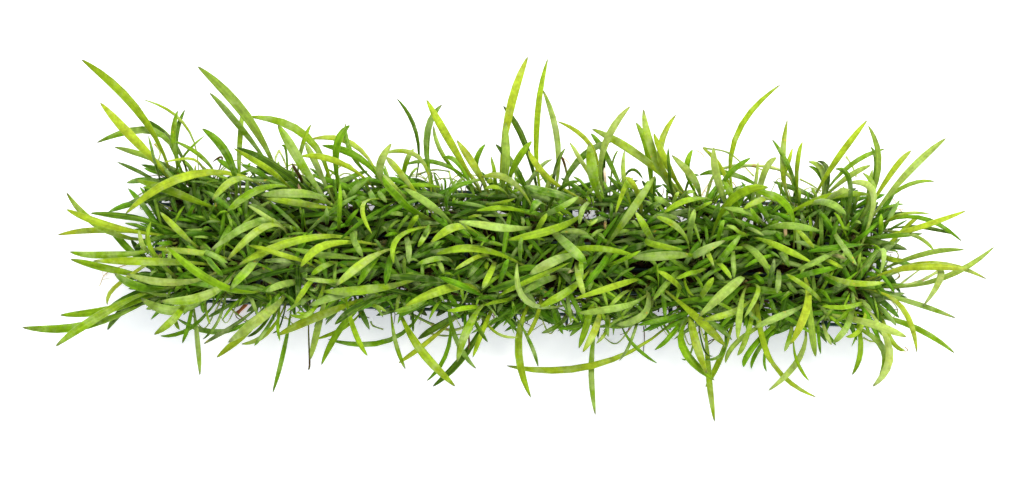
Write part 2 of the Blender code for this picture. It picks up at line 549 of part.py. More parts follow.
def centre_line(foot, blade, change, turn):
    """The blade's middle line, three control points of a quadratic curve, at a changed height and turn."""
    stance = STANCES[blade[7]]
    bend_mark = Vector((blade[2], blade[3], 0.0))
    tip_mark = Vector((blade[4], blade[5], 0.0))
    reach = (bend_mark - ground_mark(foot)).length
    outer = (tip_mark - bend_mark).length
    standing = max((stance["length"] - outer) ** 2 - reach ** 2, 0.0)
    rise = max(math.sqrt(standing), stance["rise"]) + change
    bend_height = max(foot.z + rise, 2 * LOWEST_TIP)
    tip_height = max(bend_height + stance["slope"] * outer, LOWEST_TIP)
    aside = (tip_mark - bend_mark).cross(Vector((0.0, 0.0, 1.0))).normalized() * turn
    bend = sight(bend_mark.x + aside.x / 2, bend_mark.y + aside.y / 2, bend_height)
    tip = sight(tip_mark.x + aside.x, tip_mark.y + aside.y, tip_height)
    inner = (bend - foot).length
    share = min(max(inner / (inner + (tip - bend).length), LEAST_BEND), MOST_BEND)
    control = (bend - foot * (1 - share) ** 2 - tip * share ** 2) / (2 * share * (1 - share))
    return foot, control, tip


def along(line, t):
    """The place and the heading at t from 0 to 1 on a centre line."""
    foot, control, tip = line
    place = foot * (1 - t) ** 2 + control * (2 * t * (1 - t)) + tip * t ** 2
    heading = (control - foot) * (1 - t) + (tip - control) * t
    return place, heading.normalized()


# Where a blade's cross-sections lie and how wide each is, as shares of its length and of its widest width
FULL_STATIONS = ((0.0, 0.2), (0.34, 0.5), (0.62, 1.0), (0.86, 0.82))
SHORT_STATIONS = ((0.0, 0.22), (0.48, 0.95), (0.82, 0.86))


def width_at(stations, t):
    """The share of the widest width at t, between the stations on either side."""
    for (t0, w0), (t1, w1) in zip(stations, stations[1:]):
        if t <= t1:
            return w0 + (w1 - w0) * (t - t0) / (t1 - t0)
    return stations[-1][1]


def blade_body(line, width, stations, growth, start=0.0):
    """A blade as a three-sided cone, cut at its stations and laid untwisted along its line, keel down."""
    bm = bmesh.new()
    bmesh.ops.create_cone(bm, cap_ends=True, segments=3, radius1=1.0, radius2=0.0, depth=1.0)
    bmesh.ops.translate(bm, vec=(0.0, 0.0, 0.5), verts=bm.verts)
    for station, _ in stations[1:]:
        bmesh.ops.bisect_plane(
            bm, geom=bm.verts[:] + bm.edges[:] + bm.faces[:], plane_co=(0, 0, station), plane_no=(0, 0, 1)
        )
    outward = along(line, LEVEL_AT)[1]
    level = outward.cross(Vector((0.0, 0.0, 1.0))).normalized()
    for vert in bm.verts:
        t = min(max(vert.co.z, start), 1.0)
        place, heading = along(line, t)
        side = outward.rotation_difference(heading) @ level
        lift = side.cross(heading)
        if t > 0.999:
            vert.co = place + heading * growth
            continue
        corner = vert.co.xy.normalized()
        across = corner.x / math.cos(math.radians(30))
        down = corner.y
        half = BLADE_WIDTH_SHARE * width * width_at(stations, t) / 2 + growth
        depth = BLADE_THICKNESS / 1.5 + growth
        vert.co = place + side * (across * half) - lift * (down * depth)
    bmesh.ops.triangulate(bm, faces=bm.faces)
    return bm


def stations_for(blade):
    return FULL_STATIONS if blade[7] > 1 else SHORT_STATIONS


def crown_body(place, growth):
    """A crown with its short root stock: a six-sided frustum, long in x, that stands in its cell."""
    bm = bmesh.new()
    bmesh.ops.create_cone(
        bm, cap_ends=True, segments=CROWN_SIDES, radius1=1.0, radius2=CROWN_TAPER, depth=1.0
    )
    size = (CROWN_HALF_LENGTH + growth, CROWN_HALF_WIDTH + growth, CROWN_TOP - CROWN_BOTTOM + 2 * growth)
    bmesh.ops.scale(bm, vec=size, verts=bm.verts)
    bmesh.ops.translate(bm, vec=(place.x, place.y, (CROWN_TOP + CROWN_BOTTOM) / 2), verts=bm.verts)
    return bm


def block_body(length, width, bottom, top):
    bm = bmesh.new()
    bmesh.ops.create_cube(bm, size=1.0)
    bmesh.ops.scale(bm, vec=(length, width, top - bottom), verts=bm.verts)
    bmesh.ops.translate(bm, vec=(0.0, 0.0, (top + bottom) / 2), verts=bm.verts)
    return bm


class Obstacle:
    """A closed body that later blades keep clear of, with its bounds for a quick first test."""

    def __init__(self, bm, owner):
        self.low = Vector([min(vert.co[i] for vert in bm.verts) for i in range(3)])
        self.high = Vector([max(vert.co[i] for vert in bm.verts) for i in range(3)])
        self.tree = BVHTree.FromBMesh(bm)
        self.owner = owner
        bm.free()

    def meets(self, other):
        apart = any(self.low[i] > other.high[i] or other.low[i] > self.high[i] for i in range(3))
        return not apart and bool(self.tree.overlap(other.tree))


def find_room(blade, name, foot, obstacles, siblings):
    """The first place of a blade that clears the other plants, at best also its own plant's blades."""
    crossing = None
    for turn in TURNS:
        for change in HEIGHT_CHANGES:
            line = centre_line(foot, blade, change, turn)
            body = Obstacle(blade_body(line, blade[6], stations_for(blade), CLEARANCE / 2), name)
            if any(body.meets(other) for other in obstacles if other.owner != name):
                continue
            outer = Obstacle(blade_body(line, blade[6], stations_for(blade), 0.0, OUTER_START), name)
            if not any(outer.meets(other) for other in siblings):
                return line, body, outer
            crossing = crossing or (line, body, outer)
    return crossing


def weave(crowns):
    """Lays every blade, topmost first, each moved a little until it clears the blades already laid."""
    obstacles = [Obstacle(crown_body(place, CLEARANCE), name) for name, place in crowns.items()]
    lattice_length = COLUMNS * PITCH_X + CROSS_BAR_WIDTH + 2 * CLEARANCE
    lattice_width = ROWS * PITCH_Y + LONG_BAR_WIDTH + 2 * (SPRUE_LENGTH + CLEARANCE)
    lattice_top = LATTICE_BOTTOM + LATTICE_DEPTH + CLEARANCE
    lattice_room = block_body(lattice_length, lattice_width, LATTICE_BOTTOM - CLEARANCE, lattice_top)
    felt_width = FELT_WIDTH + 2 * (FELT_EDGE_WAVE + CLEARANCE)
    felt_room = block_body(FELT_LENGTH + 2 * CLEARANCE, felt_width, 0.0, FELT_HEIGHT + 2 * CLEARANCE)
    obstacles.append(Obstacle(lattice_room, "lattice"))
    obstacles.append(Obstacle(felt_room, "fibre_felt"))
    for name, points in RUNNERS.items():
        obstacles.append(Obstacle(strand_body(points, RUNNER_RADIUS + CLEARANCE), name))
    for name, points in ROOTS.items():
        obstacles.append(Obstacle(strand_body(points, ROOT_RADIUS + CLEARANCE), name))
    obstacles.append(Obstacle(strand_body(DEAD_STEM, DEAD_STEM_RADIUS + CLEARANCE), "dead_stem"))
    shares = share_out(BLADES, crowns)
    feet = {name: blade_feet(crowns[name], blades) for name, blades in shares.items()}
    order = sorted(
        ((blade, name) for name, blades in shares.items() for blade in blades),
        key=lambda pair: (-pair[0][7], -pair[0][6]),
    )
    laid = {name: [] for name in crowns}
    siblings = {name: [] for name in crowns}
    for blade, name in order:
        found = find_room(blade, name, feet[name][blade], obstacles, siblings[name])
        if found is None:
            continue
        line, body, outer = found
        laid[name].append((blade, line))
        obstacles.append(body)
        siblings[name].append(outer)
    return laid


def add_plant(name, place, blades, collection, helpers):
    """One plant: the crown with its blades joined to it as one closed solid."""
    plant = add_object(crown_body(place, 0.0), name, collection)
    joined = bpy.data.collections.new(f"{name}_blades")
    helpers.children.link(joined)
    for number, (blade, line) in enumerate(blades):
        body = blade_body(line, blade[6], stations_for(blade), 0.0)
        helper = add_object(body, f"{name}_blade_{number + 1:02d}", joined)
        helper.hide_render = True
        helper.display_type = "WIRE"
    union = plant.modifiers.new("blades", "BOOLEAN")
    union.operation = "UNION"
    union.operand_type = "COLLECTION"
    union.collection = joined
    union.solver = "EXACT"
    add_material(plant, name, mean_colour([TONE_COLOURS[blade[8]] for blade, _ in blades]), BLADE_ROUGHNESS)


def build():
    clear_scene()
    parts = bpy.data.collections.new(PART_NAME)
    helpers = bpy.data.collections.new("blades_to_join")
    bpy.context.scene.collection.children.link(parts)
    bpy.context.scene.collection.children.link(helpers)
    add_felt(parts)
    add_lattice(parts)
    crowns = crown_places()
    for name, blades in weave(crowns).items():
        add_plant(name, crowns[name], blades, parts, helpers)
    for name, points in RUNNERS.items():
        add_strand(name, points, RUNNER_RADIUS, RUNNER_COLOUR, parts)
    for name, points in ROOTS.items():
        add_strand(name, points, ROOT_RADIUS, ROOT_COLOUR, parts)
    add_strand("dead_stem", DEAD_STEM, DEAD_STEM_RADIUS, DEAD_STEM_COLOUR, parts)


build()
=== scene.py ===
import math
import random
from collections import namedtuple

import bmesh
import bpy
from mathutils import Matrix, Vector, noise
from mathutils.bvhtree import BVHTree


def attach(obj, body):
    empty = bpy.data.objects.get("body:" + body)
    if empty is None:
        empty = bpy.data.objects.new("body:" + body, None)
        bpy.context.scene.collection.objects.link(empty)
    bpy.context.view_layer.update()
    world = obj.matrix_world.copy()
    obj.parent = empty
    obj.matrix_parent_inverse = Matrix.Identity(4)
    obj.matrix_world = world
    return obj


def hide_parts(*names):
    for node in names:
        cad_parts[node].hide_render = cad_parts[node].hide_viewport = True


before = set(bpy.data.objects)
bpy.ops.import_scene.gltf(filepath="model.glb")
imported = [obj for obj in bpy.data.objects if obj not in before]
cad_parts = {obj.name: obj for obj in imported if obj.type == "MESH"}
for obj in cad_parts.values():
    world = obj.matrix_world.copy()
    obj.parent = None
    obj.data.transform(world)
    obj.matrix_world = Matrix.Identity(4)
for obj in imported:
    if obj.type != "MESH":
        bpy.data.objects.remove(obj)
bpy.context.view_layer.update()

# Studio
# A plain white paper floor, an even pale sky all round and one broad soft light from the back right. The
# camera looks down steeply on the strip from in front of it. Lengths are in millimetres.
MM = 0.001
VIEWPOINT = Vector((7.0, -213.9, 873.3))
LOOKED_AT = Vector((-1.36, 3.64, 0.0))
SENSOR_WIDTH = 36.0
FOCAL_LENGTH = 142.4
LIGHT_PLACE = Vector((330.0, 470.0, 900.0))
LIGHT_WIDTH = 600.0
LIGHT_WATTS = 12.0
SKY_STRENGTH = 0.98
PAPER_GLOW = 0.4
FLOOR_SIZE = 3000.0

scene = bpy.context.scene
scene.view_settings.view_transform = "Standard"


def linear(hex_colour):
    """An sRGB hex colour as Blender's linear RGBA."""
    channels = [int(hex_colour[i:i + 2], 16) / 255 for i in (0, 2, 4)]
    return [c / 12.92 if c <= 0.04045 else ((c + 0.055) / 1.055) ** 2.4 for c in channels] + [1.0]


def set_inputs(material, node, inputs):
    """Sets a node's inputs to a value each, or links them to another node's output."""
    for key, value in inputs.items():
        if isinstance(value, bpy.types.NodeSocket):
            material.node_tree.links.new(value, node.inputs[key])
        else:
            node.inputs[key].default_value = value


def new_material(name, inputs):
    """A material with one Principled shader, whose inputs are set."""
    material = bpy.data.materials.new(name)
    material.use_nodes = True
    shader = material.node_tree.nodes["Principled BSDF"]
    set_inputs(material, shader, inputs)
    return material, shader


def add_node(material, kind, settings=None, inputs=None):
    """Adds a node with its settings and inputs."""
    node = material.node_tree.nodes.new(kind)
    for key, value in (settings or {}).items():
        setattr(node, key, value)
    set_inputs(material, node, inputs or {})
    return node


def add_object(bm, name, material):
    """Turns a bmesh in millimetres into a smooth-shaded object in metres with its faces pointing out."""
    bmesh.ops.scale(bm, vec=(MM, MM, MM), verts=bm.verts)
    bmesh.ops.recalc_face_normals(bm, faces=bm.faces)
    mesh = bpy.data.meshes.new(name)
    bm.to_mesh(mesh)
    bm.free()
    mesh.shade_smooth()
    piece = bpy.data.objects.new(name, mesh)
    scene.collection.objects.link(piece)
    mesh.materials.append(material)
    return piece


def add_aimed(name, data, place, target):
    """A camera or light at a place, turned to its target."""
    thing = bpy.data.objects.new(name, data)
    scene.collection.objects.link(thing)
    thing.location = place * MM
    thing.rotation_euler = (target - place).to_track_quat("-Z", "Y").to_euler()
    return thing


lens = bpy.data.cameras.new("camera")
lens.sensor_width = SENSOR_WIDTH
lens.lens = FOCAL_LENGTH
scene.camera = add_aimed("camera", lens, VIEWPOINT, LOOKED_AT)

softbox = bpy.data.lights.new("softbox", "AREA")
softbox.energy = LIGHT_WATTS
softbox.size = LIGHT_WIDTH * MM
softbox.color = linear("FFF7EA")[:3]
add_aimed("softbox", softbox, LIGHT_PLACE, Vector((0.0, 0.0, 0.0)))

sky = bpy.data.worlds.new("studio_sky")
sky.use_nodes = True
sky.node_tree.nodes["Background"].inputs["Color"].default_value = linear("F2F4FA")
sky.node_tree.nodes["Background"].inputs["Strength"].default_value = SKY_STRENGTH
scene.world = sky

# Matt paper: pressed from pulp, it takes the light evenly with hardly a tooth to be seen.
paper, paper_shader = new_material("matt_white_paper", {
    "Roughness": 0.9, "Emission Color": linear("F2F3FF"), "Emission Strength": PAPER_GLOW,
})
place = add_node(paper, "ShaderNodeTexCoord").outputs["Object"]
tooth = add_node(paper, "ShaderNodeTexNoise", inputs={"Vector": place, "Scale": 40.0, "Detail": 2.0})
shades = add_node(paper, "ShaderNodeMix", {"data_type": "RGBA"}, {
    0: tooth.outputs["Fac"], 6: linear("F9F9FA"), 7: linear("FCFCFC"),
})
set_inputs(paper, paper_shader, {"Base Color": shades.outputs[2]})
bm = bmesh.new()
bmesh.ops.create_grid(bm, x_segments=1, y_segments=1, size=FLOOR_SIZE / 2)
floor = add_object(bm, "floor", paper)

# Fibre felt
# A mat of coir, peat and old roots, matted by the roots that grow through it: flat underneath, torn and
# crumbly at the edges. Loose coir fibres and crumbs of peat lie on it and stand out of it.
FELT_LENGTH = 155.0
FELT_WIDTH = 18.0
FELT_HEIGHT = 1.9
FELT_SWELL = 0.25
FELT_EDGE_WAVE = 0.9
# Waves of the felt, radians per millimetre: along its edges, long and short, and of its top along x and y
EDGE_WAVE_LONG = 0.31
EDGE_WAVE_SHORT = 0.83
SWELL_WAVE_X = 0.47
SWELL_WAVE_Y = 0.61
FELT_CELLS_X = 190
FELT_CELLS_Y = 26
LUMP_HEIGHT = 0.45
LUMP_SIZE = 1.3
# The top is rounded off towards the rim, over this width and by this much
RIM_WIDTH = 1.2
RIM_DROP = 0.7
FIBRE_COUNT = 300
FIBRE_RADIUS = 0.1
CRUMB_COUNT = 190
# Fibres and crumbs lie on this much of the length, and crumbs this near the edge
LOOSE_LENGTH = FELT_LENGTH - 3.0
CRUMB_BAND = 4.0


def felt_edge(x):
    """Half width of the felt at x: its edge is torn in long shallow waves."""
    wave = 0.6 * math.sin(EDGE_WAVE_LONG * x) + 0.4 * math.sin(EDGE_WAVE_SHORT * x + 1.0)
    return FELT_WIDTH / 2 + FELT_EDGE_WAVE * wave


def tinted(material, shades, mask, low, high, tint, most=1.0, blend="MIX"):
    """Lays a tint over the shades: none of it where the mask is low, and the most where it is high."""
    amount = add_node(material, "ShaderNodeMapRange", inputs={0: mask, 1: low, 2: high, 4: most})
    layer = add_node(material, "ShaderNodeMix", {"data_type": "RGBA", "blend_type": blend}, {
        0: amount.outputs[0], 6: shades, 7: linear(tint),
    })
    return layer.outputs[2]


# Peat and coir: brown rotted moss and husk fibre, rough and dull, darker where it is damp. Its crumbs are
# about 0.8 mm and its strands run along it.
peat, peat_shader = new_material("peat_and_coir", {"Roughness": 0.95, "Specular IOR Level": 0.2})
place = add_node(peat, "ShaderNodeTexCoord").outputs["Object"]
crumbs = add_node(peat, "ShaderNodeTexNoise", inputs={
    "Vector": place, "Scale": 1 / (0.8 * MM), "Detail": 4.0,
}).outputs["Fac"]
strands = add_node(peat, "ShaderNodeMapping", inputs={
    "Vector": place, "Rotation": (0.0, 0.0, 0.3), "Scale": (0.12, 1.0, 1.0),
}).outputs["Vector"]
husk = add_node(peat, "ShaderNodeTexNoise", inputs={
    "Vector": strands, "Scale": 1 / (0.35 * MM), "Detail": 3.0,
}).outputs["Fac"]
shades = tinted(peat, linear("1E140C"), crumbs, 0.35, 0.65, "4A3320")
shades = tinted(peat, shades, husk, 0.55, 0.75, "7A5532")
relief = add_node(peat, "ShaderNodeBump", inputs={"Strength": 0.9, "Distance": 0.3 * MM, "Height": crumbs})
set_inputs(peat, peat_shader, {"Base Color": shades, "Normal": relief.outputs["Normal"]})

bm = bmesh.new()
bmesh.ops.create_grid(bm, x_segments=FELT_CELLS_X, y_segments=FELT_CELLS_Y, size=0.5)
for vert in bm.verts:
    x = vert.co.x * FELT_LENGTH
    vert.co = Vector((x, vert.co.y * 2 * felt_edge(x), 0.0))
raised = bmesh.ops.extrude_face_region(bm, geom=bm.faces[:], use_keep_orig=True)["geom"]
for vert in [part for part in raised if isinstance(part, bmesh.types.BMVert)]:
    x, y = vert.co.xy
    swell = FELT_SWELL * math.sin(SWELL_WAVE_X * x) * math.cos(SWELL_WAVE_Y * y)
    lumps = LUMP_HEIGHT * noise.fractal(Vector((x, y, 0.0)) / LUMP_SIZE, 1.0, 2.0, 3)
    rim = min(felt_edge(x) - abs(y), FELT_LENGTH / 2 - abs(x))
    rounding = max(0.0, 1.0 - rim / RIM_WIDTH) ** 2
    vert.co.z = FELT_HEIGHT + swell + lumps - RIM_DROP * rounding
felt = add_object(bm, "coir_felt", peat)
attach(felt, "root")
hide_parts("fibre_felt")


def add_strands(name, routes, material, sides=1):
    """Thin round strands in one piece: each route is its points x, y, z and radius."""
    curve = bpy.data.curves.new(name, "CURVE")
    curve.dimensions = "3D"
    curve.bevel_depth = MM
    curve.bevel_resolution = sides
    curve.use_fill_caps = True
    for route in routes:
        spline = curve.splines.new("POLY")
        spline.points.add(len(route) - 1)
        for point, (x, y, z, radius) in zip(spline.points, route):
            point.co = (x * MM, y * MM, z * MM, 1.0)
            point.radius = radius
    piece = bpy.data.objects.new(name, curve)
    scene.collection.objects.link(piece)
    curve.materials.append(material)
    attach(piece, "root")
    return piece


def wandering(start, heading, length, radius, steps, chance, bend=0.5, lowest=0.25):
    """A loose fibre's route: it wanders from a place along a heading, and thins towards its end."""
    place = Vector(start)
    angle = heading
    rise = chance.uniform(-0.25, 0.35)
    route = []
    for step in range(steps + 1):
        thin = 1.0 - 0.6 * step / steps
        route.append((place.x, place.y, max(place.z, lowest), radius * thin))
        angle += chance.uniform(-bend, bend)
        rise += chance.uniform(-0.3, 0.2)
        place += Vector((math.cos(angle), math.sin(angle), rise)) * length / steps
    return route


# Coir: retted husk fibre, tan to dark brown, dull and stiff, each one a little different.
coir, coir_shader = new_material("coir_fibre", {"Roughness": 0.8, "Specular IOR Level": 0.3})
place = add_node(coir, "ShaderNodeTexCoord").outputs["Object"]
patches = add_node(coir, "ShaderNodeTexNoise", inputs={
    "Vector": place, "Scale": 1 / (3.0 * MM), "Detail": 1.0,
}).outputs["Fac"]
set_inputs(coir, coir_shader, {"Base Color": tinted(coir, linear("3B2615"), patches, 0.35, 0.65, "8A6238")})
chance = random.Random(11)
routes = []
for number in range(FIBRE_COUNT):
    x = chance.uniform(-0.5, 0.5) * LOOSE_LENGTH
    y = chance.uniform(-1.0, 1.0) * felt_edge(x)
    z = FELT_HEIGHT - chance.uniform(0.0, 1.2)
    heading = chance.uniform(0.0, math.tau)
    routes.append(wandering((x, y, z), heading, chance.uniform(3.0, 8.0), FIBRE_RADIUS, 5, chance))
fibres = add_strands("coir_fibres", routes, coir, 0)

bm = bmesh.new()
for number in range(CRUMB_COUNT):
    x = chance.uniform(-0.5, 0.5) * LOOSE_LENGTH
    y = chance.choice((-1, 1)) * (felt_edge(x) - chance.uniform(0.0, CRUMB_BAND))
    size = chance.uniform(0.25, 0.6)
    made = bmesh.ops.create_icosphere(bm, subdivisions=1, radius=size)["verts"]
    for vert in made:
        vert.co *= chance.uniform(0.7, 1.15)
    bmesh.ops.translate(bm, vec=(x, y, FELT_HEIGHT + 0.4 * size), verts=made)
loose_peat = add_object(bm, "peat_crumbs", peat)
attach(loose_peat, "root")

# Lattice
# One injection-moulded grid of dark teal-green plastic that holds the plants in rows: long bars and cross
# bars, with the stub of a sprue at the front end of each cross bar. It lies on the felt.
COLUMNS = 14
ROWS = 5
PITCH_X = 11.4
PITCH_Y = 5.4
LONG_BAR_WIDTH = 0.6
CROSS_BAR_WIDTH = 0.9
LATTICE_BOTTOM = 2.5
LATTICE_DEPTH = 1.2
SPRUE_LENGTH = 2.2
SPRUE_END_WIDTH = 0.5
CORNER_ROUNDING = 0.13
# A grid point lies on an edge of the lattice within this, and a cell's middle within this share of a pitch
ON_EDGE = 0.01
MIDDLE_OF_CELL = 0.4


def bar_edges(count, pitch, width):
    """Both edges of each bar across one direction of the lattice."""
    middles = [(i - count / 2) * pitch for i in range(count + 1)]
    return [middle + side * width / 2 for middle in middles for side in (-1, 1)]


# Polypropylene: moulded, so smooth and slightly waxy with rounded corners. The damp leaves a dull film on it
# in patches of about 4 mm.
plastic, plastic_shader = new_material("moulded_polypropylene", {"Roughness": 0.4, "IOR": 1.49})
place = add_node(plastic, "ShaderNodeTexCoord").outputs["Object"]
film = add_node(plastic, "ShaderNodeTexNoise", inputs={
    "Vector": place, "Scale": 1 / (4.0 * MM), "Detail": 3.0,
}).outputs["Fac"]
dull = add_node(plastic, "ShaderNodeMapRange", inputs={0: film, 1: 0.4, 2: 0.7, 3: 0.32, 4: 0.6})
set_inputs(plastic, plastic_shader, {
    "Base Color": tinted(plastic, linear("0A3634"), film, 0.45, 0.7, "18453C"), "Roughness": dull.outputs[0],
})

x_edges = bar_edges(COLUMNS, PITCH_X, CROSS_BAR_WIDTH)
y_edges = bar_edges(ROWS, PITCH_Y, LONG_BAR_WIDTH)
bm = bmesh.new()
bmesh.ops.create_grid(bm, x_segments=len(x_edges) - 1, y_segments=len(y_edges) - 1, size=0.5)
for vert in bm.verts:
    i = round((vert.co.x + 0.5) * (len(x_edges) - 1))
    j = round((vert.co.y + 0.5) * (len(y_edges) - 1))
    vert.co = Vector((x_edges[i], y_edges[j], LATTICE_BOTTOM))
cells = [
    face for face in bm.faces
    if abs((face.calc_center_median().x / PITCH_X + COLUMNS / 2) % 1 - 0.5) < MIDDLE_OF_CELL
    and abs((face.calc_center_median().y / PITCH_Y + ROWS / 2) % 1 - 0.5) < MIDDLE_OF_CELL
]
bmesh.ops.delete(bm, geom=cells, context="FACES")
ends = [
    edge for edge in bm.edges
    if all(abs(vert.co.y - y_edges[0]) < ON_EDGE for vert in edge.verts)
    and edge.calc_length() < CROSS_BAR_WIDTH + ON_EDGE
]
for edge in ends:
    middle = (edge.verts[0].co.x + edge.verts[1].co.x) / 2
    drawn = bmesh.ops.extrude_edge_only(bm, edges=[edge])["geom"]
    for vert in [part for part in drawn if isinstance(part, bmesh.types.BMVert)]:
        side = 1 if vert.co.x > middle else -1
        vert.co.x = middle + side * SPRUE_END_WIDTH / 2
        vert.co.y -= SPRUE_LENGTH
raised = bmesh.ops.extrude_face_region(bm, geom=bm.faces[:], use_keep_orig=True)["geom"]
tops = [part for part in raised if isinstance(part, bmesh.types.BMVert)]
bmesh.ops.translate(bm, vec=(0.0, 0.0, LATTICE_DEPTH), verts=tops)
moulding = add_object(bm, "lattice_moulding", plastic)
rounding = moulding.modifiers.new("rounded_corners", "BEVEL")
rounding.width = CORNER_ROUNDING * MM
rounding.segments = 2
rounding.limit_method = "ANGLE"
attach(moulding, "root")
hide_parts("lattice")

# Runners, roots and the dead stem
# Runners are pale green creeping stems, thickened at their joints. Roots are cream, thin and tapering, and
# come out of the felt at its edges. One rust-brown stump of an old stem sticks out at the front left.
RUNNER_RADIUS = 0.4
ROOT_RADIUS = 0.25
DEAD_STEM_RADIUS = 0.5
POINTS_BETWEEN = 12
# A strand has this share of its radius between its joints, and this much more at one, over a short length
THIN_SHARE = 0.8
JOINT_SWELL = 0.3
JOINT_SHARPNESS = 10
RUNNERS = {
    "runner_back": (
        (41.0, 12.9, 4.8), (43.5, 19.0, 8.5), (51.5, 20.5, 9.0), (59.0, 19.0, 8.0), (61.7, 12.9, 4.8),
    ),
    "runner_right": ((78.7, -5.2, 4.8), (82.0, -5.0, 5.6), (88.0, -3.6, 4.2), (93.0, -0.6, 3.0)),
    "runner_front": (
        (-27.1, -12.9, 4.8), (-22.0, -15.6, 5.2), (-14.0, -17.8, 2.4), (-8.0, -15.6, 5.0), (-6.9, -12.9, 4.8),
    ),
}
ROOTS = {
    "root_left": ((-78.1, -3.2, 1.1), (-84.0, -4.6, 1.2), (-90.6, -7.2, 0.6), (-92.3, -10.4, 0.4)),
    "root_back": ((39.2, 10.2, 1.1), (40.2, 14.8, 1.2), (42.8, 19.4, 0.6), (46.0, 21.8, 0.4)),
    "root_right": ((78.1, 6.2, 1.1), (81.2, 10.6, 1.2), (84.0, 14.0, 0.6), (85.6, 12.6, 0.4)),
}
DEAD_STEM = ((-56.8, -10.4, 1.1), (-61.4, -15.4, 0.7))


def smoothed(points, count):
    """Evenly numbered points on the smooth curve that runs through the given ones."""
    places = [Vector(p) for p in points]
    places = [2 * places[0] - places[1]] + places + [2 * places[-1] - places[-2]]
    result = []
    for i in range(count):
        position = i / (count - 1) * (len(places) - 3)
        k = min(int(position), len(places) - 4)
        t = position - k
        a, b, c, d = places[k:k + 4]
        cubic = (3 * b - a - 3 * c + d) * t ** 3
        square = (2 * a - 5 * b + 4 * c - d) * t ** 2
        result.append((cubic + square + (c - a) * t + 2 * b) / 2)
    return result


def jointed(points, radius, joints, end_share=1.0):
    """A strand's route with its thickness: swollen at even joints, thinner between and at its end."""
    count = POINTS_BETWEEN * (len(points) - 1) + 1
    route = []
    for number, place in enumerate(smoothed(points, count)):
        t = number / (count - 1)
        swelling = abs(math.cos(math.pi * joints * t)) ** JOINT_SHARPNESS if joints else 0.0
        thickness = radius * (THIN_SHARE + JOINT_SWELL * swelling) * (1 - t + t * end_share)
        route.append((*place, thickness))
    return route


def soft_stem(name, dark, light, fleck, roughness):
    """A stem or root: smooth skin in two shades along it, in patches of 3.5 mm, with flecks of 0.9 mm."""
    material, shader = new_material(name, {
        "Roughness": roughness, "Subsurface Weight": 0.15, "Subsurface Scale": 0.5 * MM,
    })
    place = add_node(material, "ShaderNodeTexCoord").outputs["Object"]
    patches = add_node(material, "ShaderNodeTexNoise", inputs={
        "Vector": place, "Scale": 1 / (3.5 * MM), "Detail": 2.0,
    }).outputs["Fac"]
    flecks = add_node(material, "ShaderNodeTexNoise", inputs={
        "Vector": place, "Scale": 1 / (0.9 * MM), "Detail": 3.0,
    }).outputs["Fac"]
    shades = tinted(material, linear(dark), patches, 0.38, 0.62, light)
    shades = tinted(material, shades, flecks, 0.58, 0.7, fleck)
    relief = add_node(material, "ShaderNodeBump", inputs={
        "Strength": 0.4, "Distance": 0.1 * MM, "Height": flecks,
    })
    set_inputs(material, shader, {"Base Color": shades, "Normal": relief.outputs["Normal"]})
    return material


# Living runner: a smooth juicy stem, yellow-green with redder joints.
runner_skin = soft_stem("green_runner_skin", "7E9A3C", "B4C765", "A8874E", 0.45)
# Root: bare and slightly fuzzy, cream where it is young and tan where it is old.
root_skin = soft_stem("cream_root_skin", "BFA274", "E3D6B2", "8A6A42", 0.7)
# Dead stem: dried and cracked, rust to dark brown.
dead_skin = soft_stem("dry_rust_stem", "8A4521", "B9702F", "3F2314", 0.85)

for name, points in RUNNERS.items():
    route = jointed(points, RUNNER_RADIUS, 2 * (len(points) - 1))
    runner = add_strands(f"{name}_stem", [route], runner_skin, 2)
    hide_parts(name)
chance = random.Random(5)
for name, points in ROOTS.items():
    routes = [jointed(points, ROOT_RADIUS, 0, 0.45)]
    for place in smoothed(points, 14)[2:-2]:
        heading = chance.uniform(0.0, math.tau)
        routes.append(wandering(place, heading, chance.uniform(0.8, 1.8), 0.07, 3, chance, 0.4))
    root = add_strands(f"{name}_fibres", routes, root_skin)
    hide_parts(name)
stump = []
for number, place in enumerate(smoothed(DEAD_STEM, 9)):
    stump.append((*place, DEAD_STEM_RADIUS * (0.8 + 0.2 * math.sin(2.6 * number))))
dead = add_strands("dead_stem_stump", [stump], dead_skin, 2)
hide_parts("dead_stem")

# Plants
# A small rooted plant stands in every second cell: a short stock wrapped in brown old sheaths, with narrow
# juicy blades that widen towards their round tips. Small blades and side shoots fill the turf underneath.
# Each is grown, so no two blades are alike, and all blades of a plant are one piece.
CROWN_BOTTOM = 2.55
CROWN_TOP = 6.0
CROWN_HALF_LENGTH = 4.2
CROWN_HALF_WIDTH = 1.4
CROWN_TAPER = 0.78
CROWN_SIDES = 6
FOOT_REACH_X = 2.6
FOOT_REACH_Y = 0.4
BLADE_FOOT_HEIGHT = 5.2
BLADE_THICKNESS = 0.55
# The rows below give a blade's widest width as it was drawn, with its rims. The blade has this share of it.
BLADE_WIDTH_SHARE = 0.78
# Room that is kept free round everything that a blade passes
CLEARANCE = 0.3

# How a blade stands, by its place in the turf from the lowest (0) to the topmost (3): its natural length,
# the least rise of its bend above its foot, and the slope of its outer half. The last two are for small
# blades deep in the turf and halfway up.
STANCES = (
    {"length": 19.0, "rise": 3.2, "slope": -0.40},
    {"length": 23.0, "rise": 6.0, "slope": -0.24},
    {"length": 27.0, "rise": 9.5, "slope": -0.12},
    {"length": 31.0, "rise": 13.0, "slope": 0.02},
    {"length": 11.0, "rise": 2.5, "slope": -0.35},
    {"length": 14.5, "rise": 4.5, "slope": -0.2},
)

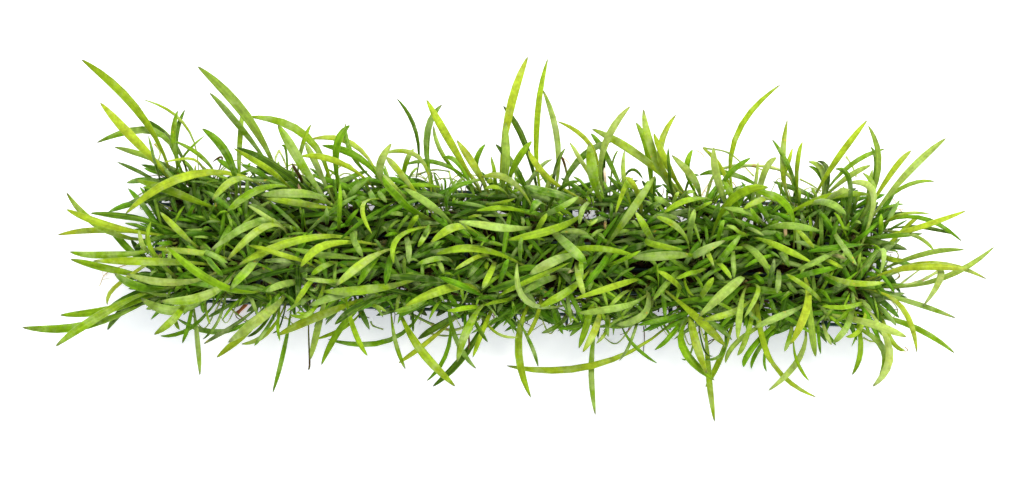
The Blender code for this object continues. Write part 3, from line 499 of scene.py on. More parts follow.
# One row for each blade, drawn from the viewpoint as marks on the ground, with its widest width, stance and
# tone (0 deep green, 1 green, 2 fresh green, 3 yellow-green, 4 pale with a painted sheen, 5 tan and dead,
# 6 dark brown, 7 cream).
Blade = namedtuple("Blade", "foot_x foot_y bend_x bend_y tip_x tip_y width stance tone")
BLADES_LEFT_END = (
    (-76, 14, -86, 30, -99.8, 41.9, 2.6, 3, 3), (-72, 13, -84.7, 21.7, -94.9, 32, 2.7, 3, 3),
    (-74, 12, -81, 25.2, -95.1, 22.5, 2.2, 2, 2), (-74, 12, -79.5, 25, -85.7, 28.7, 1.7, 1, 0),
    (-76, 13, -77.3, 21.5, -75.7, 31.1, 1.6, 1, 0), (-76.5, 14, -78, 24.5, -77.3, 30.8, 1.6, 2, 2),
    (-74, 14, -84, 19.9, -91, 21.7, 1.8, 1, 4), (-62.5, 13, -66.1, 21.6, -71.7, 26.8, 2.4, 3, 1),
    (-76, 5, -93, 3.2, -101.1, 11, 2.0, 2, 2), (-75, -1, -92.5, 4, -100.8, 7, 2.2, 3, 3),
    (-78, -3, -87, -0.9, -92.1, 4.3, 2.0, 1, 1), (-77, 6, -92, 2.6, -102.4, 1, 1.9, 1, 3),
    (-75, 7, -87, 5.8, -95.4, 6.3, 2.0, 2, 0), (-56, 12, -72, 16.5, -87.7, 6.3, 2.8, 3, 3),
    (-62, 6, -74.5, 11, -86, 14.4, 2.4, 2, 2), (-75, 10, -82, 10.5, -87.1, 9.1, 1.9, 0, 0),
    (-79, -4, -82, 0, -81.7, 5, 1.5, 2, 3), (-79, -2, -91, -3.2, -99.5, -2.7, 2.2, 2, 2),
    (-80, -5.5, -90.4, -6.2, -99.2, -4.4, 2.2, 1, 2), (-65, -8, -79.5, -4.2, -94.2, -4.6, 2.6, 3, 3),
    (-79, -7, -90.5, -15.6, -100.7, -17.2, 2.2, 1, 2), (-79, -10.5, -95, -19.3, -108.9, -20.3, 2.5, 1, 2),
    (-79.5, -5, -91.5, -16.5, -101.2, -24.4, 2.7, 2, 2), (-80, -11.5, -86.8, -15.5, -89.9, -20.2, 2.0, 0, 0),
    (-84, -5, -88.5, -10, -90.3, -14.5, 1.4, 1, 3), (-76, -10.5, -84, -10, -89.2, -7.2, 2.4, 1, 1),
    (-68, -12, -77.4, -9.3, -86.6, -7.9, 2.3, 1, 4), (-60, -8.5, -70, -12, -78.7, -13.2, 2.8, 3, 3),
    (-67, -14, -75.5, -15.2, -83, -12.6, 2.8, 2, 4), (-70, -13, -75.4, -17.1, -79.6, -20.8, 2.2, 1, 2),
    (-67, -14, -72.5, -19.5, -78.2, -21, 1.3, 0, 1), (-72, -13, -69.9, -21.5, -68.9, -29.7, 1.5, 0, 2),
    (-53, -8, -68, -8, -78.1, -0.5, 2.4, 3, 2), (-63, -7, -71, -1.8, -81, -1.3, 1.8, 2, 3),
    (-52, -13, -62, -19, -75, -16.8, 1.6, 0, 1), (-61, -11, -63.5, -19, -68.5, -22.5, 1.4, 0, 0),
)
BLADES_BACK_LEFT = (
    (-46, 12.5, -60.8, 28.6, -73.6, 41.3, 3.0, 3, 4), (-57, 13, -64, 28.5, -70.5, 35.2, 1.9, 2, 2),
    (-53, 14, -62, 29.5, -67.3, 36.4, 1.5, 1, 0), (-62, 12, -63.1, 24, -62.6, 32.1, 1.6, 2, 2),
    (-38, 14, -49.5, 26.8, -61.5, 29.9, 2.5, 2, 2), (-45, 12, -50.1, 21.3, -54.8, 28.4, 2.8, 3, 2),
    (-50, 14, -49, 24, -47.3, 28.7, 1.3, 1, 2), (-27, 14, -39, 25, -47.5, 25.2, 1.8, 1, 3),
    (-44, 12, -41.3, 24, -38.6, 28.8, 2.2, 2, 1), (-36, 13, -38.5, 23.5, -39.6, 29.2, 1.4, 1, 1),
    (-35, 11, -31.5, 19.5, -29.1, 25, 2.3, 3, 4), (-32, 14, -42.2, 20.8, -49.3, 21.2, 2.0, 2, 3),
    (-44, 13, -46.2, 20.2, -48.3, 24.4, 1.9, 1, 4), (-27, 14, -36, 21.2, -44.7, 23.9, 2.2, 1, 1),
    (-48, 11.5, -57, 18.3, -64.4, 22.5, 1.7, 3, 3), (-44, 13, -54.5, 18.5, -63.7, 22.7, 2.2, 2, 0),
    (-46, 7.5, -57, 6.2, -68.5, -1.5, 2.3, 3, 4), (-46, 7, -57.5, 4, -64.5, -3.5, 2.2, 3, 3),
    (-37, 5, -50.5, 1.5, -62, -4.5, 2.5, 3, 3), (-36, 14, -35, 9.5, -32.4, 3.8, 1.4, 3, 3),
)
BLADES_FRONT_LEFT = (
    (-48.5, -10, -56, -16, -63.2, -22, 3.0, 2, 4), (-51, -14, -59.7, -19.8, -65.5, -25.5, 2.1, 1, 3),
    (-50, -14, -55.5, -20.3, -60.2, -22.2, 1.4, 0, 3), (-33, -10.5, -43, -15, -52.5, -20, 2.6, 2, 3),
    (-41, -13, -46, -15, -50, -15, 1.4, 1, 3), (-50.5, -12, -50.5, -22, -52.7, -33, 1.4, 0, 1),
    (-42, -11, -43.5, -18, -44.8, -25.2, 2.0, 1, 4), (-36, -11, -38.8, -18.3, -42.3, -26.3, 1.9, 1, 2),
    (-38, -11, -35.3, -18.5, -32.2, -23.8, 1.6, 1, 2), (-16, -13.5, -26, -19.2, -41.3, -20.3, 1.7, 0, 1),
    (-29, -10.5, -35.5, -13.2, -39.8, -17, 2.3, 2, 0), (-20, -9, -33.5, -8.9, -43, -9.5, 2.7, 3, 3),
    (-28.5, 2, -34.5, -3, -40, -8.2, 2.5, 3, 3), (-37, 3, -43.5, 0.6, -48, -4.3, 2.4, 3, 3),
    (-25, 8, -27.2, 2.5, -27.3, -2.8, 1.7, 3, 3),
)
BLADES_BACK_MIDDLE = (
    (-9, 11, -16.8, 27, -21.8, 35.5, 2.4, 3, 3), (-24, 14, -21.3, 27.5, -18.2, 34.4, 2.0, 2, 1),
    (-14, 13, -18, 23.5, -19.9, 29.5, 1.3, 1, 2), (-5, 13, -10.8, 21, -14.6, 26.3, 2.3, 2, 3),
    (-12, 14, -10, 21.7, -8.1, 25.6, 1.5, 1, 1), (-4, 13, -2.9, 34.5, 0.6, 46.4, 2.5, 3, 3),
    (-3.5, 12, -3.5, 22, -3.8, 30.8, 2.4, 2, 4), (2.5, 12, 3.1, 31, 5.1, 46.2, 1.8, 3, 3),
    (7, 12, 7.9, 27, 4.1, 38.9, 1.8, 2, 4), (-1, 14, 0, 27.5, -4.6, 34.7, 1.8, 2, 0),
    (4, 14, -1.5, 20.5, -5.9, 25.7, 2.0, 2, 0), (-3, 13, -0.8, 22.4, 2.2, 26.7, 2.0, 3, 2),
    (7.5, 14, 4.5, 20, 1.5, 24.5, 1.9, 2, 3), (0, 14, 3.3, 19.5, 7, 22.6, 1.3, 2, 0),
    (17, 13, 13.5, 22.5, 10.6, 26.7, 1.3, 2, 3), (20.5, 14, 14.5, 27.3, 7.6, 31.5, 1.4, 2, 3),
    (6.5, 14, 13.5, 23.5, 20.7, 27.6, 2.0, 2, 0), (-15, 14, -24, 22.6, -31.6, 22.3, 1.4, 2, 3),
    (-10, 14, -19, 21, -26.4, 20, 1.4, 1, 1), (-9.5, 13, -14, 20.8, -17.5, 22, 1.5, 1, 1),
    (-23, 12, -27.4, 18.8, -30.1, 21.7, 1.9, 2, 3), (-24, 8, -27.5, 12.8, -31, 17.5, 2.2, 2, 1),
    (-19, 13, -15, 15.1, -10.2, 16.7, 1.9, 1, 1), (5, 14.5, -3, 17.9, -8.8, 17.9, 1.9, 2, 3),
    (10, 10.5, 5.5, 15.2, 0.9, 16.2, 2.6, 2, 1), (6, 6, -4.5, 6.6, -13.7, 7.6, 2.5, 3, 4),
    (-9, 11, -14, 6.3, -19.5, 2.3, 2.5, 3, 3),
)
BLADES_FRONT_MIDDLE = (
    (0.5, 1.2, -10, 1.4, -18.2, -0.2, 2.4, 3, 3), (16, 12, 7, 6.3, -2.5, 3.7, 2.4, 3, 3),
    (-4.5, -4.5, -15.5, -7.8, -24.7, -12.4, 2.7, 3, 3), (-9, -14, 0.5, -6.6, 11.8, -0.8, 1.5, 3, 3),
    (-7, -9, -10.5, -17, -12.4, -24.5, 2.4, 2, 2), (-9, -13.5, -11.3, -23.5, -17.6, -30.2, 2.1, 1, 0),
    (-25, -12, -20.5, -22, -12.5, -30, 2.5, 2, 3), (-15, -12, -14.8, -22.5, -19, -29, 1.3, 0, 1),
    (-15.5, -11.5, -12.5, -20, -8.1, -25.8, 1.5, 1, 1), (-14.5, -14, -20.2, -21, -25.3, -25.2, 1.5, 0, 3),
    (-28, -13, -26, -21, -23.7, -26.5, 1.3, 0, 2), (-5.5, -12, -7.5, -18.5, -9, -23.3, 1.5, 0, 3),
    (-2, -11.5, 1, -21, 4.2, -31.9, 2.2, 1, 3), (40, -10.5, 15, -24.7, -1.6, -24.8, 2.1, 1, 3),
    (20, -14, 14, -15.3, 9.5, -16, 1.4, 0, 1), (8.2, -12, 1.6, -9.2, 0, -1.3, 1.8, 3, 4),
    (13.5, 3, 8, -0.7, 2.8, -4, 2.8, 3, 4), (-11, -11.5, -17, -16.5, -21.3, -19.6, 2.0, 0, 0),
)
BLADES_BACK_RIGHT = (
    (20.5, 13, 19, 28, 24, 35.7, 2.1, 3, 4), (37, 14, 27, 23.7, 15.4, 30.1, 2.6, 2, 3),
    (20.3, 14, 18.6, 24.5, 15.3, 29, 1.7, 1, 1), (18.5, 11, 16, 20, 15, 26.8, 3.0, 3, 2),
    (25, 11, 23, 19, 23, 25.4, 1.3, 2, 3), (32, 14, 29.2, 25, 26.9, 35.2, 2.4, 3, 3),
    (31, 14, 28, 26, 25.3, 31.9, 2.1, 2, 2), (36, 14, 30.9, 25.5, 34.3, 34.2, 1.9, 3, 3),
    (36, 15, 32, 23.5, 29.4, 29.6, 2.0, 2, 3), (44, 14, 38, 20, 33.5, 24.7, 2.2, 2, 4),
    (36, 14, 37, 22, 38.2, 26.1, 1.7, 2, 2), (45, 11.5, 43.7, 20, 42.9, 26.9, 2.3, 3, 4),
    (48, 14, 44.5, 22.3, 40.3, 26.6, 1.3, 2, 3), (46, 13, 47.8, 29.5, 57.6, 42.1, 1.7, 3, 3),
    (43, 14, 47, 21.3, 51.2, 24.7, 1.6, 2, 1), (52.5, 14.5, 46, 21, 39.8, 20.2, 1.8, 1, 1),
    (19, 5, 25, 11.5, 30, 19.8, 2.3, 3, 2), (42.5, 10.5, 48.5, 16, 55.3, 18, 2.6, 3, 2),
    (40, 2, 35, 8.3, 30.2, 10.4, 1.9, 3, 3),
)
BLADES_FRONT_RIGHT = (
    (17, -12, 17.2, -23, 18.5, -35.3, 1.7, 1, 2), (20, -10, 17.8, -15.8, 15.2, -21.2, 2.1, 2, 3),
    (18, -9.5, 15.8, -15, 14.3, -20.4, 2.1, 1, 2), (35, -12, 37.8, -20.2, 44.5, -26.4, 2.4, 2, 2),
    (48.5, -13.5, 45.5, -21.5, 42.5, -28, 1.7, 0, 3), (38, -10.5, 43, -24, 44.7, -35.8, 1.8, 1, 3),
    (37, -8, 39.8, -17, 42.7, -25, 2.5, 2, 3), (36, -6, 41.5, -13.5, 46.6, -18.5, 2.5, 2, 3),
    (54, 2.5, 47.5, -5, 40.5, -12.2, 2.8, 3, 4), (50, -3, 49.6, -10.9, 49.3, -17.2, 1.9, 3, 4),
    (51.5, -1.5, 53.2, -7, 50.5, -12.2, 1.5, 3, 3), (51, -12.5, 48.6, -18.3, 46.8, -22.4, 1.6, 1, 4),
    (54, -13, 52, -19.5, 50.8, -23.2, 1.9, 1, 1), (55.5, -13, 53.6, -19.5, 52.5, -23.5, 1.4, 0, 1),
    (31.5, -7, 22, -5.8, 12.8, -9.2, 1.9, 3, 3), (34, -0.5, 40.5, 2.6, 46, 5.5, 2.3, 3, 4),
    (39.5, 8, 41.7, 3, 43.7, -0.8, 1.5, 3, 3), (22.5, 7, 30, 4, 36.8, 3, 1.9, 3, 3),
    (8, 5.8, 12.2, 2, 15.4, -1, 2.9, 3, 2), (33, -12, 27.5, -13, 22.2, -14.6, 2.2, 0, 4),
)
BLADES_RIGHT_END = (
    (56, 13.5, 58.3, 23.7, 59.2, 34, 1.7, 3, 3), (63, 14, 59.5, 23.5, 55.8, 29.2, 1.4, 2, 1),
    (59.5, 14, 61.6, 24, 62.7, 28.9, 1.4, 2, 3), (64, 13, 71.3, 26.5, 77.1, 34.5, 1.9, 3, 3),
    (79.5, 11.5, 79.8, 25, 77.2, 33.3, 1.7, 3, 4), (79.5, 14, 79.2, 23.5, 77.9, 28.3, 1.4, 1, 0),
    (68, 14, 74.5, 24.7, 81.1, 27.9, 1.5, 2, 2), (79, 14, 83.2, 23.2, 87, 27.8, 1.8, 2, 3),
    (78.5, 12, 87, 23.5, 94.8, 31, 2.1, 3, 4), (79, 14, 86, 19.6, 92.3, 20.8, 1.3, 1, 2),
    (77, 6.5, 89, 10.1, 99.5, 14.4, 1.8, 3, 3), (79, 11.5, 89.5, 12.3, 98.6, 7.2, 1.5, 2, 1),
    (82, 7, 86.5, 10.5, 89.2, 12.7, 1.3, 1, 3), (76, 5.5, 83.5, 8, 89.9, 8.7, 1.4, 1, 1),
    (68, 14, 73.5, 21.5, 78, 24, 1.7, 1, 4), (70.5, 14, 67.7, 21.2, 64, 24.3, 1.9, 2, 4),
    (70.5, 14, 68.5, 21.5, 66, 24.5, 1.5, 1, 0), (69.5, 14, 69, 21.5, 68, 25.8, 1.3, 2, 3),
    (83, 11.5, 78.5, 18, 73, 19.7, 2.1, 3, 4), (81.5, 13, 78.7, 18.7, 76.1, 22.2, 1.7, 1, 2),
    (58.5, 14, 69, 16.5, 78.2, 17.2, 2.1, 2, 2), (76.5, 14, 73, 21.3, 70, 22.8, 1.7, 1, 1),
    (65, 10.5, 58.5, 15, 52, 16.8, 2.3, 2, 2), (52, 9, 60, 9.4, 67, 8.5, 2.1, 3, 4),
    (49.5, 6, 58, 4.5, 65.3, 1.2, 1.9, 3, 3), (79, 10, 81.2, 4.5, 80.5, -1, 1.6, 3, 4),
    (77, 2, 88.5, 3.6, 99.2, 5.4, 1.6, 1, 4), (79, -5, 95.5, -0.8, 105.8, 6.4, 1.7, 2, 4),
    (76, -3.5, 88.5, 1, 100.4, 0.8, 2.0, 3, 3), (81, -1, 94, 2, 104.2, -1.2, 1.5, 2, 3),
    (82, -1, 94, 0.5, 90, -8, 2.0, 3, 4), (77, -8, 87.5, -7, 97.5, -10.3, 1.6, 2, 2),
    (77, -10, 88, -12.6, 97.3, -18.3, 1.7, 1, 2), (79, -0.5, 86.3, -9.5, 88.9, -18.5, 1.6, 2, 3),
    (70.5, -11, 79.5, -12.5, 86.6, -15, 2.3, 2, 4), (79, -11, 82.9, -19.5, 79.2, -26.5, 2.3, 2, 4),
    (77, -10, 81.3, -17.5, 80.7, -23.8, 2.0, 1, 2), (77, -10.5, 76.5, -18, 74.7, -24, 1.6, 1, 2),
    (64, -5, 65.6, -14, 66.6, -20.2, 2.0, 2, 4), (66, -1, 64.3, -9.8, 60.9, -17.7, 2.4, 3, 3),
    (63, -10, 62.8, -21, 56.3, -28.3, 1.8, 1, 4), (53, -14, 58.5, -23.8, 67, -29.3, 1.4, 0, 3),
    (53.5, -13.5, 55.5, -19, 57.6, -22.3, 1.9, 1, 3), (67, -5, 74.5, -3.2, 81.8, -2.7, 1.8, 3, 3),
)
BLADES = [Blade(*row) for row in (
    BLADES_LEFT_END
    + BLADES_BACK_LEFT
    + BLADES_FRONT_LEFT
    + BLADES_BACK_MIDDLE
    + BLADES_FRONT_MIDDLE
    + BLADES_BACK_RIGHT
    + BLADES_FRONT_RIGHT
    + BLADES_RIGHT_END
)]
# Smaller blades between them, in the same columns
SMALL_BLADES = [Blade(*row) for row in (
    (-72, 16, -76, 28, -85.3, 33, 0.9, 2, 3), (-70, -2, -75.7, 3.2, -79.9, 7.2, 1.8, 2, 3),
    (-80, -3, -83.3, -0.5, -84.4, 3, 1.5, 1, 4), (-71, -14, -72.3, -19, -73.2, -22.6, 1.3, 0, 1),
    (-64, -12, -66, -18, -68.8, -21.5, 1.0, 0, 0), (-71, 1, -67.5, -4.5, -65, -7, 1.7, 2, 1),
    (-71, -1, -67.5, -2.3, -64, -4, 1.8, 1, 2), (-48, 13, -59.3, 12.7, -65, 7.8, 2.4, 2, 2),
    (-58, 14, -64.5, 14.7, -68.5, 10.2, 2.1, 2, 3), (-40, 12, -49.8, 12.7, -57.8, 11.8, 2.6, 2, 4),
    (-39, 12, -48.2, 10.3, -56.9, 11.2, 2.0, 1, 3), (-51, 5.5, -56.5, 7.2, -60.7, 9.6, 1.4, 2, 3),
    (-40, 4, -40, 10, -40.2, 15.5, 1.4, 2, 2), (-25, 12, -28.5, 14.7, -31.2, 17.3, 2.0, 1, 4),
    (-43, -5, -52, -1.5, -60, 0.3, 1.6, 2, 3), (-55, -1, -60.5, -5, -64.3, -9, 2.6, 2, 2),
    (-52, -13, -55.5, -19.8, -57.3, -22.5, 1.2, 0, 1), (-53, -13, -56.5, -18.8, -59, -20.5, 1.1, 0, 0),
    (-52, -13, -52.3, -18, -51.7, -21.2, 1.0, 0, 2), (-33, -13.5, -38.5, -18, -44, -20.6, 1.2, 0, 3),
    (-33, -10, -40, -10.6, -45.7, -13, 2.2, 1, 4), (-44, -6, -47, -9.5, -49, -13, 1.7, 2, 3),
    (-38, -8.5, -43, -7.2, -47, -6.8, 1.5, 2, 3), (-32, -4, -42.3, -1.3, -50.8, 0, 1.9, 2, 4),
    (-37.5, 6, -36, 1.5, -34.2, -1.5, 1.9, 1, 4), (-30, 1, -33, -4, -35.2, -8, 2.0, 1, 2),
    (-28, 0, -28.6, -4, -29, -7.7, 2.0, 1, 1), (-40, -2.5, -43.3, -4.2, -45.7, -6, 1.8, 1, 2),
    (-47, -4, -51.5, -3, -55.5, -3, 1.6, 1, 0), (-48, -6.5, -52.7, -8.7, -55.5, -10, 2.3, 1, 4),
    (-24, 14, -23.7, 27.5, -28.5, 35.5, 1.2, 1, 0), (-5, 13, -5.9, 19, -6.8, 22.9, 1.2, 1, 2),
    (7, 15, 8, 21.5, 9.8, 25.4, 1.1, 1, 0), (-14, 6, -20, 11.2, -26, 14.8, 2.2, 2, 4),
    (-30, 13, -23, 15.6, -17.5, 15.2, 1.3, 0, 2), (-2, 13, -5.5, 15.8, -8, 15.3, 1.5, 1, 3),
    (3, 13.5, 9.3, 11.7, 13.3, 14.5, 1.8, 2, 2), (5.5, 15, 4, 12.7, 2.3, 10, 2.4, 1, 1),
    (4, 9, -4, 11, -9.7, 10.1, 1.6, 1, 3), (-9, 12, -4, 12.3, -1, 13.3, 1.1, 1, 3),
    (3.5, 5, 5, 8, 6.2, 10.2, 1.8, 1, 3), (-25, 5, -23.5, 7.2, -22.4, 8.7, 1.7, 1, 3),
    (-21.5, 1.5, -20.7, 4.5, -19.9, 6.7, 1.4, 1, 2), (-14, 0.5, -18.5, -1.3, -22.4, -2.6, 1.8, 2, 2),
    (-6, 0, -10.5, -1.2, -14, -3.7, 1.4, 2, 3), (-12, -7.5, -21, -5.7, -30.5, -5.8, 2.1, 2, 0),
    (-18, -11.5, -22.8, -12.3, -27, -13.5, 1.9, 1, 2), (-5.5, -9.8, -12, -7.2, -17.6, -5.2, 1.8, 2, 1),
    (-5, -1, -6.2, -4.7, -7.6, -7.6, 1.9, 2, 3), (-7, -11.5, -11.5, -12.3, -15.2, -13, 1.6, 1, 3),
    (-9.5, -13, -7.8, -17, -5.8, -19.7, 1.3, 0, 0), (-8, -14, -3, -18, 1.2, -18.2, 0.9, 0, 3),
    (-1, -12.5, 3.9, -20.2, 5.5, -24.8, 1.2, 0, 1), (5.8, -12, 4.3, -15, 2.6, -18.4, 1.3, 0, 3),
    (12, -13.5, 8.8, -15.8, 5.9, -17.2, 1.5, 0, 0), (7.2, -11, 9.2, -14.3, 10.8, -17.3, 1.3, 0, 1),
    (16.5, -12, 14.3, -15.2, 12.2, -17.7, 1.6, 0, 1), (17, -4, 10.5, -8, 5.2, -11.4, 2.3, 2, 3),
    (6.5, 0.5, 0.5, -6, -6.4, -8.9, 2.4, 2, 0), (9, -4, 4.8, -6, 1.1, -8.4, 2.2, 1, 4),
    (-17.5, -1, -17, -2.6, -16.1, -4.5, 1.5, 1, 4), (-7, 0, -9.2, -2.8, -11.1, -5.4, 1.7, 1, 0),
    (-4, -5, -2.8, -2.8, -2, -0.5, 1.6, 1, 1), (0.8, -0.5, 0.6, 2.5, 1, 5, 1.3, 2, 2),
    (-25, 4.5, -24.3, 1, -24, -2.6, 1.9, 1, 4), (-19.5, 6.5, -21, 3.5, -22.2, 1.3, 1.7, 1, 3),
    (27, 12, 24, 18, 21.3, 10.3, 1.5, 2, 3), (34, 15, 33, 21.5, 32.7, 26.5, 1.1, 1, 0),
    (51, 13, 52.4, 19.5, 52.9, 24, 1.1, 1, 4), (49.5, 13, 47, 16.3, 45, 19.5, 1.9, 1, 2),
    (5.5, 14.5, 9.8, 16.7, 13.2, 17.8, 1.4, 1, 0), (16, 13.5, 14, 11, 13.4, 7.7, 1.6, 1, 4),
    (14.5, 7.5, 16.2, 8.2, 17.6, 9.5, 1.3, 1, 3), (44, 14, 37, 14.3, 32, 11.2, 1.9, 2, 3),
    (38.5, 12, 41, 13.3, 42.9, 14.3, 1.3, 1, 3), (57.5, 14.5, 53, 15.3, 49.3, 13.2, 1.9, 2, 3),
    (30.5, 3, 28, 7.8, 25.8, 11.4, 2.1, 2, 3), (38, 6, 38.4, 9.5, 39, 12.4, 1.9, 1, 4),
    (44, 6, 45, 8.5, 45.6, 10.2, 1.4, 1, 2), (51, 6.5, 48.5, 8, 46, 9, 1.5, 2, 3),
    (55, 12, 50, 12.2, 45.3, 13, 1.8, 1, 4), (53.5, 10, 52.3, 11.8, 51.4, 13.2, 1.5, 1, 2),
    (33.5, 13, 34.6, 15, 35.4, 16.3, 1.3, 1, 3), (27.5, 14, 25.3, 17.5, 23.3, 19.1, 1.7, 1, 3),
    (26.5, 10, 29.5, 12.5, 31.8, 13.7, 2.0, 0, 0), (34, 12.3, 31.8, 14, 30, 15, 1.8, 1, 4),
    (35.5, 14, 37.3, 16.2, 39, 16.4, 1.4, 0, 4), (21, -13.5, 19.8, -17, 18.1, -19.1, 1.1, 0, 3),
    (20.5, -12, 20.4, -15, 20.7, -17.5, 1.3, 0, 1), (24, -13, 27, -19.7, 31.7, -23, 1.1, 0, 1),
    (28.5, -13, 25.5, -18.8, 23.3, -22.8, 1.0, 0, 0), (37, -13.5, 34, -17.3, 31, -20.1, 1.5, 0, 1),
    (53, -10, 47, -11.2, 41.3, -12.9, 1.9, 2, 3), (49, -14, 45.7, -20.6, 42.2, -21.8, 1.1, 0, 1),
    (53, -13, 50.9, -17.5, 49.3, -20.6, 1.7, 1, 2), (36.5, -3, 33, -5.2, 30.2, -8.9, 1.7, 3, 4),
    (37, -5.5, 34, -3.6, 31, -2, 1.9, 3, 3), (42, -1, 38.5, -2.3, 35, -3.8, 1.5, 2, 3),
    (41.5, 2, 33, 1.5, 25.3, 0.7, 2.7, 2, 2), (43, -1, 46.3, 2.6, 49.5, 7, 2.0, 2, 2),
    (43, 1, 45.8, -0.8, 47.7, -3.4, 1.6, 2, 3), (47.5, 3.5, 48, 0, 48.1, -3.2, 1.5, 1, 2),
    (5, -2, 16, 2.6, 26.5, 1, 1.9, 2, 3), (13.2, -0.5, 14, -5, 15.3, -8.7, 1.9, 2, 3),
    (21, 2.5, 17.8, -2.5, 15, -6.7, 2.0, 1, 1), (30, -10.5, 21.5, -11.1, 13.8, -12.3, 2.1, 1, 4),
    (19.5, -1.5, 23.8, 0.4, 27.4, 2.5, 1.3, 2, 2), (25.3, -6.5, 22.6, -8.6, 20.5, -10.8, 1.3, 1, 3),
    (40.8, -8, 42.2, -5.4, 43.7, -3, 2.0, 2, 3), (57.5, 14, 59.3, 23, 60.5, 27.3, 1.2, 1, 3),
    (80, 10, 89, 10.2, 96.7, 8.8, 1.2, 0, 0), (80.5, 11, 86, 13.2, 91.4, 13.3, 1.0, 1, 3),
    (82, 9.5, 89.5, 7.5, 92.4, 4.8, 1.2, 1, 2), (77, 14, 77.9, 20, 78.4, 23, 1.2, 0, 3),
    (67, 14, 70.8, 17.3, 73.4, 18.3, 1.8, 1, 4), (64, 14, 69.2, 14.8, 72.8, 12.4, 2.3, 2, 4),
    (60.5, 9.5, 63.6, 6.9, 65.8, 4.4, 1.5, 2, 3), (78, 6, 71, 4.9, 64.1, 3.6, 1.7, 2, 1),
    (73, 5.5, 67, 1.8, 62, -0.6, 1.7, 2, 4), (70, 9, 72.8, 4.2, 75.4, 0.8, 1.8, 2, 4),
    (80, -13.5, 83.8, -16.6, 86.3, -18, 1.5, 0, 3), (67, -12, 67.2, -16, 67.7, -19.6, 1.1, 0, 1),
    (61.5, -14, 62.8, -22, 65.3, -25.7, 1.0, 0, 2), (65.5, -7, 58.5, -11.4, 52.7, -14.2, 2.1, 2, 4),
    (78, -8, 72.5, -8.7, 67.6, -8.7, 1.5, 2, 3), (68, -8, 63.5, -4, 59.5, -1.6, 1.5, 2, 3),
    (57.5, -4, 65.5, -1.2, 72.8, 0.9, 1.7, 2, 1), (66.5, 3, 69.8, 1.4, 72.3, 0.1, 1.3, 1, 3),
    (56, -5, 56.5, -1.5, 57, 1.8, 1.6, 2, 0), (58, -0.5, 58, -3.5, 57.8, -6.2, 1.8, 1, 4),
    (49.5, 5, 53.5, 2.2, 55.9, -1, 2.3, 2, 4), (49.5, -6, 55, -4.8, 59, -4.6, 2.0, 1, 2),
    (78, -13, 75.8, -14.7, 73.5, -16, 1.5, 0, 3), (75, -11, 72.7, -14.2, 70.3, -17, 2.0, 1, 4),
    (68, -13, 69, -15.4, 70.1, -17.4, 1.3, 0, 4), (61.5, -13.5, 60.5, -17, 59.7, -19.3, 1.4, 0, 2),
)]
